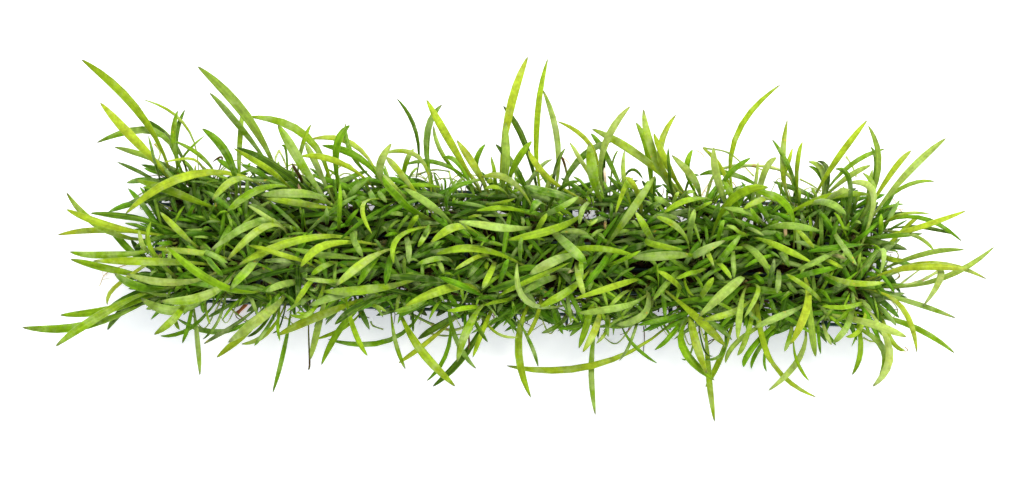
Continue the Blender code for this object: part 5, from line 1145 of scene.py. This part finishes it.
def grow_blade(plant, blank, line, width, profile, colour, wear_and_sheen, chance, thickness=LEAF_THICKNESS):
    """Lays one finished blade along its line and joins it to the plant: a lens, grooved on top."""
    bm = blank.copy()
    tone_layer = bm.verts.layers.float_color["tone_colour"]
    floats = bm.verts.layers.float
    share_layer, across_layer, wear_and_sheen_layer = floats["share"], floats["across"], floats["wear_and_sheen"]
    flat = bm.loops.layers.uv["blade_mm"]
    directions = untwisted(line)
    roll = math.radians(chance.uniform(-MOST_ROLL, MOST_ROLL))
    twist = math.radians(chance.uniform(-MOST_TWIST, MOST_TWIST))
    calm = min(1.0, max(0.0, (CALM_ABOVE - crest(line)) / CALM_OVER))
    camber = chance.uniform(*CAMBERS) * calm
    wave = chance.uniform(*WAVE_HEIGHTS) * calm
    waves = chance.uniform(*WAVE_COUNTS)
    phase = chance.uniform(0.0, math.tau)
    flat_shift = chance.uniform(0.0, MOST_SHIFT)
    length = (line[1] - line[0]).length + (line[2] - line[1]).length
    for vert in bm.verts:
        t = min(max(vert.co.z, 0.0), 1.0)
        place, heading, level_side, level_lift = directions(t)
        turn = roll + twist * (t - LEVEL_AT)
        side = level_side * math.cos(turn) + level_lift * math.sin(turn)
        lift = level_lift * math.cos(turn) - level_side * math.sin(turn)
        corner = vert.co.xy.normalized() if t < AT_TIP else Vector((0.0, 0.0))
        across = math.copysign(math.sqrt(abs(corner.x)), corner.x)
        half = width * width_at(profile, t) / 2
        fullness = thickness * min(1.0, 0.5 + half / FULL_HALF_WIDTH)
        groove = GROOVE_SHARE if corner.y > TOP_CORNER else 1.0
        rise = corner.y * groove * fullness * (UPPER_SHARE if corner.y > 0 else LOWER_SHARE)
        rise += camber * half * (across * across - CAMBER_LEVEL)
        sway = wave * math.sin(math.tau * waves * t + phase) * min(1.0, 4 * t, 4 * (1 - t))
        vert.co = place + side * (across * half + SWAY_ASIDE * sway) + lift * (rise + sway)
        vert[tone_layer] = colour
        vert[share_layer] = t
        vert[across_layer] = across
        vert[wear_and_sheen_layer] = wear_and_sheen
    for face in bm.faces:
        for loop in face.loops:
            across, share = loop.vert[across_layer], loop.vert[share_layer]
            half = width * width_at(profile, share) / 2
            loop[flat].uv = (across * half + SHIFT_ASIDE * flat_shift, share * length + flat_shift)
    joint = bpy.data.meshes.new("joint")
    bm.to_mesh(joint)
    bm.free()
    plant.from_mesh(joint)
    bpy.data.meshes.remove(joint)


# Leaf: living green tissue under a thin wax. The wax gives it a satin sheen, and greyish sheen is painted
# into its colour in patches; the tissue lets some light through. Fine veins run along it about 0.4 mm apart,
# cross walls about 2.3 mm apart show as faint bands, its thin rim is painted pale for light shining through
# it, its foot is paler, and old tips turn purple-brown.
# Tone 4 is pale with a painted sheen: its colour stands in for light reflected off the wax.
TONES = (
    ("2A4A06", "3B6408"),
    ("447204", "568A06"),
    ("5D8C06", "719A0E"),
    ("759B10", "90AD26"),
    ("6A8E2C", "90B050"),
    ("7E5F42", "B59A78"),
    ("3A2418", "5A3A26"),
    ("D8C8A8", "E6DCC4"),
)
SHEATH_TONES = ("5A331C", "7A4526", "96683C", "B79A62", "43260F")
# A blade whose tip is drawn further out than this is painted lighter for the light that reaches it round
# the edge and shines through it: painted light, which changes its red, green and blue by these
SHADED_REACH = (84.0, 17.0)
SUNNED = (1.18, 1.01, 1.1, 1.0)
VEIN_SPACING = 0.42
WALL_SPACING = 2.3
leaf, leaf_shader = new_material("waxed_green_leaf", {
    "Roughness": 0.42, "Subsurface Weight": 0.2, "Subsurface Scale": 0.6 * MM,
    "Subsurface Radius": (0.5, 1.0, 0.2), "Specular IOR Level": 0.2, "Specular Tint": linear("E8F2B4"),
})
tone, share, across, wear_and_sheen = [
    add_node(leaf, "ShaderNodeAttribute", {"attribute_name": name}).outputs
    for name in ("tone_colour", "share", "across", "wear_and_sheen")
]
place = add_node(leaf, "ShaderNodeTexCoord").outputs["Object"]
flat = add_node(leaf, "ShaderNodeUVMap", {"uv_map": "blade_mm"}).outputs["UV"]
# Soft patches: light and dark clouds of 2.2 mm, fine mottling, wide tinges, patches of painted sheen, and
# flecks
clouds, mottling, tinges, painted_sheen_noise, flecks = [
    add_node(leaf, "ShaderNodeTexNoise", inputs={
        "Vector": place, "Scale": 1 / (size * MM), "Detail": detail, "Roughness": roughness,
    }).outputs["Fac"]
    for size, detail, roughness in (
        (2.2, 3.0, 0.5), (0.7, 2.0, 0.5), (6.0, 1.0, 0.5), (3.5, 4.0, 0.65), (1.6, 2.0, 0.5),
    )
]
# Veins along the blade and cross walls, stretched on the flat blade
veins, walls = [
    add_node(leaf, "ShaderNodeTexNoise", inputs={
        "Vector": add_node(leaf, "ShaderNodeMapping", inputs={
            "Vector": flat, "Scale": scale,
        }).outputs["Vector"],
        "Scale": 1.0, "Detail": detail,
    }).outputs["Fac"]
    for scale, detail in (((1 / VEIN_SPACING, 0.07, 1.0), 2.0), ((0.1, 1 / WALL_SPACING, 1.0), 1.0))
]
# Wear adds to the tinges, the painted sheen and the flecks; wear and clouds make the dark tip's edge ragged
ragged = add_node(leaf, "ShaderNodeMath", {"operation": "MULTIPLY_ADD"}, {
    0: clouds, 1: 0.06, 2: share["Fac"],
}).outputs[0]
aged, painted_sheen, flecked, worn = [
    add_node(leaf, "ShaderNodeMath", {"operation": "MULTIPLY_ADD"}, {
        0: wear_and_sheen["Fac"], 1: weight, 2: pattern,
    }).outputs[0]
    for weight, pattern in ((0.15, tinges), (0.3, painted_sheen_noise), (0.12, flecks), (0.025, ragged))
]
edge = add_node(leaf, "ShaderNodeMath", {"operation": "ABSOLUTE"}, {0: across["Fac"]}).outputs[0]
shades = tone["Color"]
for pattern, low, high, darkest, lightest in (
    (clouds, 0.3, 0.7, 0.78, 1.22),
    (mottling, 0.35, 0.65, 0.86, 1.12),
):
    light = add_node(leaf, "ShaderNodeMapRange", inputs={
        0: pattern, 1: low, 2: high, 3: darkest, 4: lightest,
    })
    shades = add_node(leaf, "ShaderNodeMix", {"data_type": "RGBA", "blend_type": "MULTIPLY"}, {
        0: 1.0, 6: shades, 7: light.outputs[0],
    }).outputs[2]
for mask, start, full, tint, most, blend in (
    # Olive-brown tinges over a few millimetres, stronger on old blades
    (aged, 0.55, 0.8, "DCB48C", 0.3, "MULTIPLY"),
    # Painted sheen: greyish patches of a few millimetres for light off the wax, more on some blades
    (painted_sheen, 0.66, 0.88, "A6BA78", 0.5, "MIX"),
    # Veins and cross walls
    (veins, 0.48, 0.62, "6C8E1A", 0.4, "SCREEN"),
    (walls, 0.58, 0.7, "B9C08A", 0.3, "MULTIPLY"),
    # The thin rim, painted pale for light shining through its edge, and the pale foot
    (edge, 0.86, 1.0, "A4C44C", 0.4, "MIX"),
    (share["Fac"], 0.3, 0.04, "8C8F45", 0.75, "MIX"),
    # Tips: a small dark point on every blade, and old ones purple-brown further back
    (worn, 0.995, 1.04, "4C4034", 0.7, "MIX"),
    # Yellow and orange flecks where a blade is damaged or old
    (flecked, 0.81, 0.86, "C9A23A", 0.7, "MIX"),
):
    shades = tinted(leaf, shades, mask, start, full, tint, most, blend)
satin = add_node(leaf, "ShaderNodeMapRange", inputs={0: clouds, 1: 0.3, 2: 0.7, 3: 0.34, 4: 0.52})
ribs = add_node(leaf, "ShaderNodeMath", {"operation": "SUBTRACT"}, {0: veins, 1: walls})
relief = add_node(leaf, "ShaderNodeBump", inputs={
    "Strength": 0.35, "Distance": 0.12 * MM, "Height": ribs.outputs[0],
})
set_inputs(leaf, leaf_shader, {
    "Base Color": shades, "Roughness": satin.outputs[0], "Normal": relief.outputs["Normal"],
})


def between(low, high, amount, brightness):
    """A colour between two hex colours, made lighter or darker."""
    a, b = linear(low), linear(high)
    return [(a[i] + (b[i] - a[i]) * amount) * brightness for i in range(3)] + [1.0]


def arc(foot, heading, length, height, drop):
    """The centre line of a low blade: it leaves its foot steeply and bends over to its heading."""
    out = Vector((math.cos(heading), math.sin(heading), 0.0))
    control = foot + out * (0.4 * length) + Vector((0.0, 0.0, 1.5 * height))
    tip = foot + out * length
    tip.z = max(foot.z + height - drop, LOWEST_TIP)
    return foot, control, tip


# The sheaths of a plant: how many, how thick, and the least and most width, height and reach of one
SHEATH_COUNT = 9
SHEATH_THICKNESS = 0.9
SHEATH_WIDTHS = (1.3, 2.0)
SHEATH_HEIGHTS = (2.4, 4.6)
SHEATH_REACHES = (0.5, 1.6)
# What fills the turf of each plant: dark low blades, young narrow blades, thin upright ones, and round the
# edge old ones that lie on the lattice. Counts are for a plant inside the strip and one at its edge, and
# limits are how far from the middle of the strip their tips are seen.
FILLING = (
    {"counts": (13, 27), "reach": (10.0, 19.0), "height": (3.0, 7.0), "width": (1.2, 1.8),
     "limit": (83.0, 16.0), "tones": ("254408", "30580A", "3F6C0C")},
    {"counts": (12, 25), "reach": (10.0, 19.0), "height": (4.0, 8.5), "width": (0.9, 1.5),
     "limit": (85.0, 18.0), "tones": ("375E0C", "44760C", "588E12", "2E560A", "689A16")},
    {"counts": (13, 27), "reach": (3.0, 11.0), "height": (4.0, 9.5), "width": (0.5, 0.95),
     "limit": (86.0, 18.5), "tones": ("548614", "74962E", "3F6A0F", "7EA81E")},
    {"counts": (0, 16), "reach": (4.0, 10.0), "height": (0.8, 2.4), "width": (1.0, 1.7),
     "limit": (82.0, 14.5), "tones": ("1F3608", "2C4A0A", "3A3216", "38580C")},
)
# A filling blade is given up after this many tries. Its foot lies within this of its cell's middle, below
# the crown's, and this far inside the lattice's ends. It may touch others nearer to its foot than the start.
TRIES = 12
FILLING_REACH_X = 4.9
FILLING_REACH_Y = 2.1
FILLING_DEPTHS = (-2.6, -0.8)
END_MARGIN = 1.0
FILLING_START = 0.25
# Some at the edge of the strip point outwards, within this many radians
OUTWARD_SPREAD = 1.1


def grow_sheath(plant, crown):
    """One brown sheath, upright and hugging the stock."""
    offset = Vector((chance.uniform(-3.2, 3.2), chance.uniform(-0.7, 0.7), CROWN_BOTTOM - crown.z + 0.1))
    start = crown + offset
    heading = chance.uniform(0.0, math.tau)
    reach = chance.uniform(*SHEATH_REACHES)
    rise = chance.uniform(*SHEATH_HEIGHTS)
    out = Vector((math.cos(heading) * reach, math.sin(heading) * reach * 0.7, rise))
    tip = start + out
    line = (start, (start + tip) / 2 + Vector((0.0, 0.0, 0.6)), tip)
    colour = between(chance.choice(SHEATH_TONES), chance.choice(SHEATH_TONES), 0.5, chance.uniform(0.8, 1.2))
    width = chance.uniform(*SHEATH_WIDTHS)
    grow_blade(plant, low_blank, line, width, SMALL_WIDTHS, colour, 1.0, chance, SHEATH_THICKNESS)


def grow_drawn(plant, blade, line):
    """One blade of the rows."""
    colour = between(*TONES[blade.tone], chance.random(), chance.uniform(0.88, 1.12))
    # An outer blade gets painted light: its colour is made lighter for the light round and through it
    if abs(blade.tip_x) > SHADED_REACH[0] or abs(blade.tip_y) > SHADED_REACH[1]:
        colour = [channel * gain for channel, gain in zip(colour, SUNNED)]
    foot, bend, tip = blade[0:2], blade[2:4], blade[4:6]
    seen_length = math.dist(foot, bend) + math.dist(bend, tip)
    profile = SMALL_WIDTHS if seen_length < SHORT_BLADE else FINE_WIDTHS
    width = BLADE_WIDTH_SHARE * blade.width
    grow_blade(plant, fine_blank, line, width, profile, colour, chance.random(), chance)


def grow_filling(plant, name, number, kind, outward):
    """One low blade that clears the other plants, every second one on a side shoot in the next cell."""
    side_shoot = PITCH_X if number % 2 else 0.0
    for attempt in range(TRIES):
        aside = chance.uniform(-FILLING_REACH_X, FILLING_REACH_X)
        ahead = chance.uniform(-FILLING_REACH_Y, FILLING_REACH_Y)
        foot = crowns[name] + Vector((side_shoot + aside, ahead, chance.uniform(*FILLING_DEPTHS)))
        heading = chance.uniform(0.0, math.tau)
        if outward is not None and number % 5 < 2:
            heading = outward + chance.uniform(-OUTWARD_SPREAD, OUTWARD_SPREAD)
        reach = chance.uniform(*kind["reach"])
        height = chance.uniform(*kind["height"])
        line = arc(foot, heading, reach, height, chance.uniform(-1.0, 1.5))
        tip = ground_mark(line[2])
        stretch = chance.uniform(0.85, 1.08)
        if abs(tip.x) > kind["limit"][0] * stretch or abs(tip.y - 1.0) > kind["limit"][1] * stretch:
            continue
        if abs(foot.x) > COLUMNS * PITCH_X / 2 - END_MARGIN:
            continue
        width = chance.uniform(*kind["width"])
        body = Obstacle(blade_body(line, width, SHORT_STATIONS, 0.0, FILLING_START), name)
        if body.meets_others(obstacles):
            continue
        low, high = chance.choice(kind["tones"]), chance.choice(kind["tones"])
        colour = between(low, high, chance.random(), chance.uniform(0.85, 1.15))
        grow_blade(plant, low_blank, line, width, LOW_WIDTHS, colour, chance.random(), chance)
        obstacles.append(body)
        return


crowns = crown_places()
obstacles = first_obstacles(crowns)
laid = weave(crowns, obstacles)
fine_blank = blade_blank(8, FINE_CUTS)
low_blank = blade_blank(6, LOW_CUTS)
chance = random.Random(23)
for name, crown in crowns.items():
    plant = bmesh.new()
    for number in range(SHEATH_COUNT):
        grow_sheath(plant, crown)
    for blade, line in laid[name]:
        grow_drawn(plant, blade, line)
    at_side = name[6] in "ae"
    at_end = name[7:] in ("01", "14")
    outward = math.atan2(crown.y * at_side, crown.x * at_end) if at_side or at_end else None
    for kind in FILLING:
        inner_count, edge_count = kind["counts"]
        for number in range(inner_count if outward is None else edge_count):
            grow_filling(plant, name, number, kind, outward)
    tuft = add_object(plant, f"tuft_{name[-3:]}", leaf)
    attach(tuft, "root")
    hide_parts(name)
fine_blank.free()
low_blank.free()

# Loose stems and fine roots
# Thin stems that arch between the blades, bits of old root and stem, and hair roots that hang out of the
# turf. Each point below is its ground mark x, y and its height.
THIN_STEM_RADIUS = 0.28
FINE_ROOT_RADIUS = 0.16
HAIR_ROOT_RADIUS = 0.13
HAIR_ROOT_LENGTHS = (3.0, 7.5)
HAIR_ROOT_COUNT = 60
# Young stems reach this far out of the turf and run this far along its edge
YOUNG_STEM_COUNT = 46
YOUNG_STEM_REACHES = (2.5, 5.5)
YOUNG_STEM_RUNS = (4.0, 9.0)
YOUNG_STEM_RADII = (0.16, 0.27)
THIN_STEMS = (
    ((40.5, 26.6, 1.0), (46.5, 25.5, 2.6), (52.0, 20.5, 4.0)),
    ((48.0, 22.0, 3.0), (51.0, 22.8, 3.4), (54.0, 22.0, 3.0)),
    ((-23.0, 18.0, 8.0), (-19.5, 19.2, 9.0), (-16.0, 19.0, 8.4)),
    ((72.5, 25.8, 1.4), (73.9, 23.6, 2.4), (74.8, 21.3, 3.4)),
    ((-20.0, -18.0, 0.6), (-15.5, -18.6, 0.8), (-11.0, -18.0, 0.6)),
    ((-54.2, 22.4, 1.0), (-53.0, 20.3, 2.2), (-52.0, 17.8, 3.2)),
    ((-54.3, 22.0, 1.2), (-54.8, 20.9, 1.8), (-54.9, 19.6, 2.4)),
    ((-82.0, 22.8, 1.2), (-80.7, 21.0, 2.0), (-80.9, 19.2, 2.6)),
    ((-16.0, 19.0, 2.0), (-15.6, 17.5, 2.8), (-15.0, 16.0, 3.4)),
    ((-2.0, 19.5, 2.0), (-2.0, 17.4, 3.0), (-1.8, 15.5, 4.0)),
    ((-1.2, 20.0, 2.0), (-1.1, 17.8, 3.2), (-0.7, 15.8, 4.2)),
    ((62.3, 20.2, 2.0), (64.8, 19.0, 3.0), (67.0, 17.6, 4.0)),
    ((-66.0, -11.5, 5.0), (-61.7, -15.3, 3.0), (-59.0, -17.0, 1.8)),
    ((81.4, -6.2, 4.0), (86.0, -2.2, 3.4), (89.5, 0.7, 2.6)),
    ((-31.9, -16.0, 2.4), (-31.2, -17.0, 1.8), (-29.0, -17.7, 1.4)),
    ((77.0, -15.5, 2.0), (78.6, -16.2, 1.6), (80.5, -16.3, 1.2)),
)
FINE_ROOTS = (
    ((39.0, 26.0, 0.4), (40.4, 25.1, 0.6), (41.0, 23.5, 0.9)),
    ((47.3, 19.0, 0.6), (48.2, 17.5, 0.9), (47.8, 15.8, 1.3)),
    ((9.5, 23.0, 0.4), (10.6, 22.0, 0.6), (11.0, 21.0, 0.9)),
    ((82.0, 16.5, 0.5), (83.4, 16.2, 0.7), (84.0, 14.5, 0.9)),
    ((-5.0, -12.5, 4.4), (-4.6, -14.5, 3.2), (-5.2, -16.2, 1.8)),
    ((-4.2, -12.6, 4.4), (-3.6, -14.2, 3.0), (-4.4, -15.9, 1.6)),
    ((-3.6, -12.9, 4.4), (-4.8, -14.0, 3.4), (-3.9, -15.4, 2.0)),
    ((-7.4, -13.1, 4.8), (-7.0, -13.3, 4.9), (-6.5, -13.1, 4.8)),
    ((86.2, -17.2, 0.5), (86.9, -17.9, 0.6), (86.1, -18.3, 0.5)),
)


def seen_routes(strands, radius, joints, end_share):
    """The routes of strands that are given by ground marks and heights."""
    return [jointed([sight(*point) for point in points], radius, joints, end_share) for points in strands]


# Young creeping stems all round the edge, each out of an outer cell and bent along the edge or back in
routes = seen_routes(THIN_STEMS, THIN_STEM_RADIUS, 2, 0.7)
chance = random.Random(17)
for number in range(YOUNG_STEM_COUNT):
    at_end = number % 5 == 0
    side = 1 if chance.random() < 0.5 else -1
    x = side * (COLUMNS * PITCH_X / 2 - 3.0) if at_end else chance.uniform(-76.0, 76.0)
    y = chance.uniform(-11.0, 11.0) if at_end else side * (ROWS * PITCH_Y / 2 - 2.0)
    outward = Vector((side, 0.0, 0.0)) if at_end else Vector((0.0, side, 0.0))
    aside = Vector((outward.y, outward.x, 0.0)) * chance.choice((-1, 1))
    out = chance.uniform(*YOUNG_STEM_REACHES)
    run = chance.uniform(*YOUNG_STEM_RUNS)
    start = Vector((x, y, chance.uniform(4.2, 5.0)))
    rise = Vector((0.0, 0.0, chance.uniform(0.8, 2.6)))
    top = start + outward * (2.6 + 0.3 * out) + aside * (0.2 * run) + rise
    far = start + outward * (2.6 + out) + aside * (0.6 * run)
    far.z = chance.uniform(0.6, 3.4)
    end = start + outward * (2.2 + out * chance.uniform(0.2, 0.9)) + aside * run
    end.z = max(0.5, far.z + chance.uniform(-1.5, 1.0))
    routes.append(jointed((start, top, far, end), chance.uniform(*YOUNG_STEM_RADII), 4, 0.6))
stems = add_strands("thin_stems", routes, runner_skin)

routes = seen_routes(FINE_ROOTS, FINE_ROOT_RADIUS, 0, 0.5)
chance = random.Random(3)
for number in range(HAIR_ROOT_COUNT):
    at_end = chance.random() < 0.25
    if at_end:
        x = math.copysign(FELT_LENGTH / 2 - 0.5, chance.random() - 0.5)
        y = chance.uniform(-7.0, 7.0)
    else:
        x = chance.uniform(-75.0, 75.0)
        y = math.copysign(felt_edge(x) - 0.4, chance.random() - 0.5)
    outward = math.atan2(0.0 if at_end else y, x if at_end else 0.0)
    heading = outward + chance.uniform(-0.9, 0.9)
    length = chance.uniform(*HAIR_ROOT_LENGTHS)
    routes.append(wandering((x, y, 1.2), heading, length, HAIR_ROOT_RADIUS, 8, chance, 0.35, 0.2))
roots = add_strands("fine_roots", routes, root_skin, 0)

# Old roots
# Dead and dark, matted over the outer cells of the lattice, where they dried as they grew. A few are drawn by
# ground marks and heights like the stems above.
OLD_ROOT_RADIUS = 0.17
DARK_ROOT_RADIUS = 0.19
OLD_ROOT_LENGTHS = (3.0, 7.0)
OLD_ROOT_COUNT = 330
DARK_ROOTS = (
    ((-10.2, 19.0, 1.6), (-9.2, 17.9, 2.4), (-7.8, 16.5, 3.2)),
    ((-63.5, -13.5, 4.4), (-62.0, -15.0, 3.2), (-61.4, -16.3, 2.2), (-59.0, -17.3, 1.4)),
    ((-33.6, -14.3, 3.4), (-33.0, -14.9, 2.8), (-32.2, -15.2, 2.4)),
    ((7.6, -13.2, 3.8), (9.0, -13.9, 3.2), (10.4, -13.6, 3.4)),
    ((3.3, -12.5, 4.2), (3.1, -13.8, 3.2), (2.6, -15.2, 1.8)),
    ((-59.0, 21.5, 1.0), (-58.5, 22.3, 1.0), (-58.3, 21.8, 1.2)),
    ((28.5, -14.8, 3.0), (28.7, -17.5, 1.4), (28.6, -20.5, 0.5)),
    ((42.4, -18.8, 1.2), (43.0, -17.6, 1.8), (44.8, -16.8, 2.2)),
)
# Old root: a dead skin, dried and dull, dark brown with paler stretches.
old_root_skin = soft_stem("old_brown_root_skin", "2B2212", "5C4A26", "1B160C", 0.85)
chance = random.Random(29)
routes = []
for number in range(OLD_ROOT_COUNT):
    side = 1 if chance.random() < 0.6 else -1
    if number % 6 == 0:
        x, y = side * chance.uniform(75.0, 79.0), chance.uniform(-12.0, 12.0)
    else:
        x, y = chance.uniform(-79.0, 79.0), side * chance.uniform(8.0, 13.4)
    start = (x, y, chance.uniform(4.0, 5.2))
    heading = chance.uniform(0.0, math.tau)
    length = chance.uniform(*OLD_ROOT_LENGTHS)
    routes.append(wandering(start, heading, length, OLD_ROOT_RADIUS, 6, chance, 0.6, 3.9))
routes += seen_routes(DARK_ROOTS, DARK_ROOT_RADIUS, 0, 0.6)
tangle = add_strands("old_roots", routes, old_root_skin, 0)
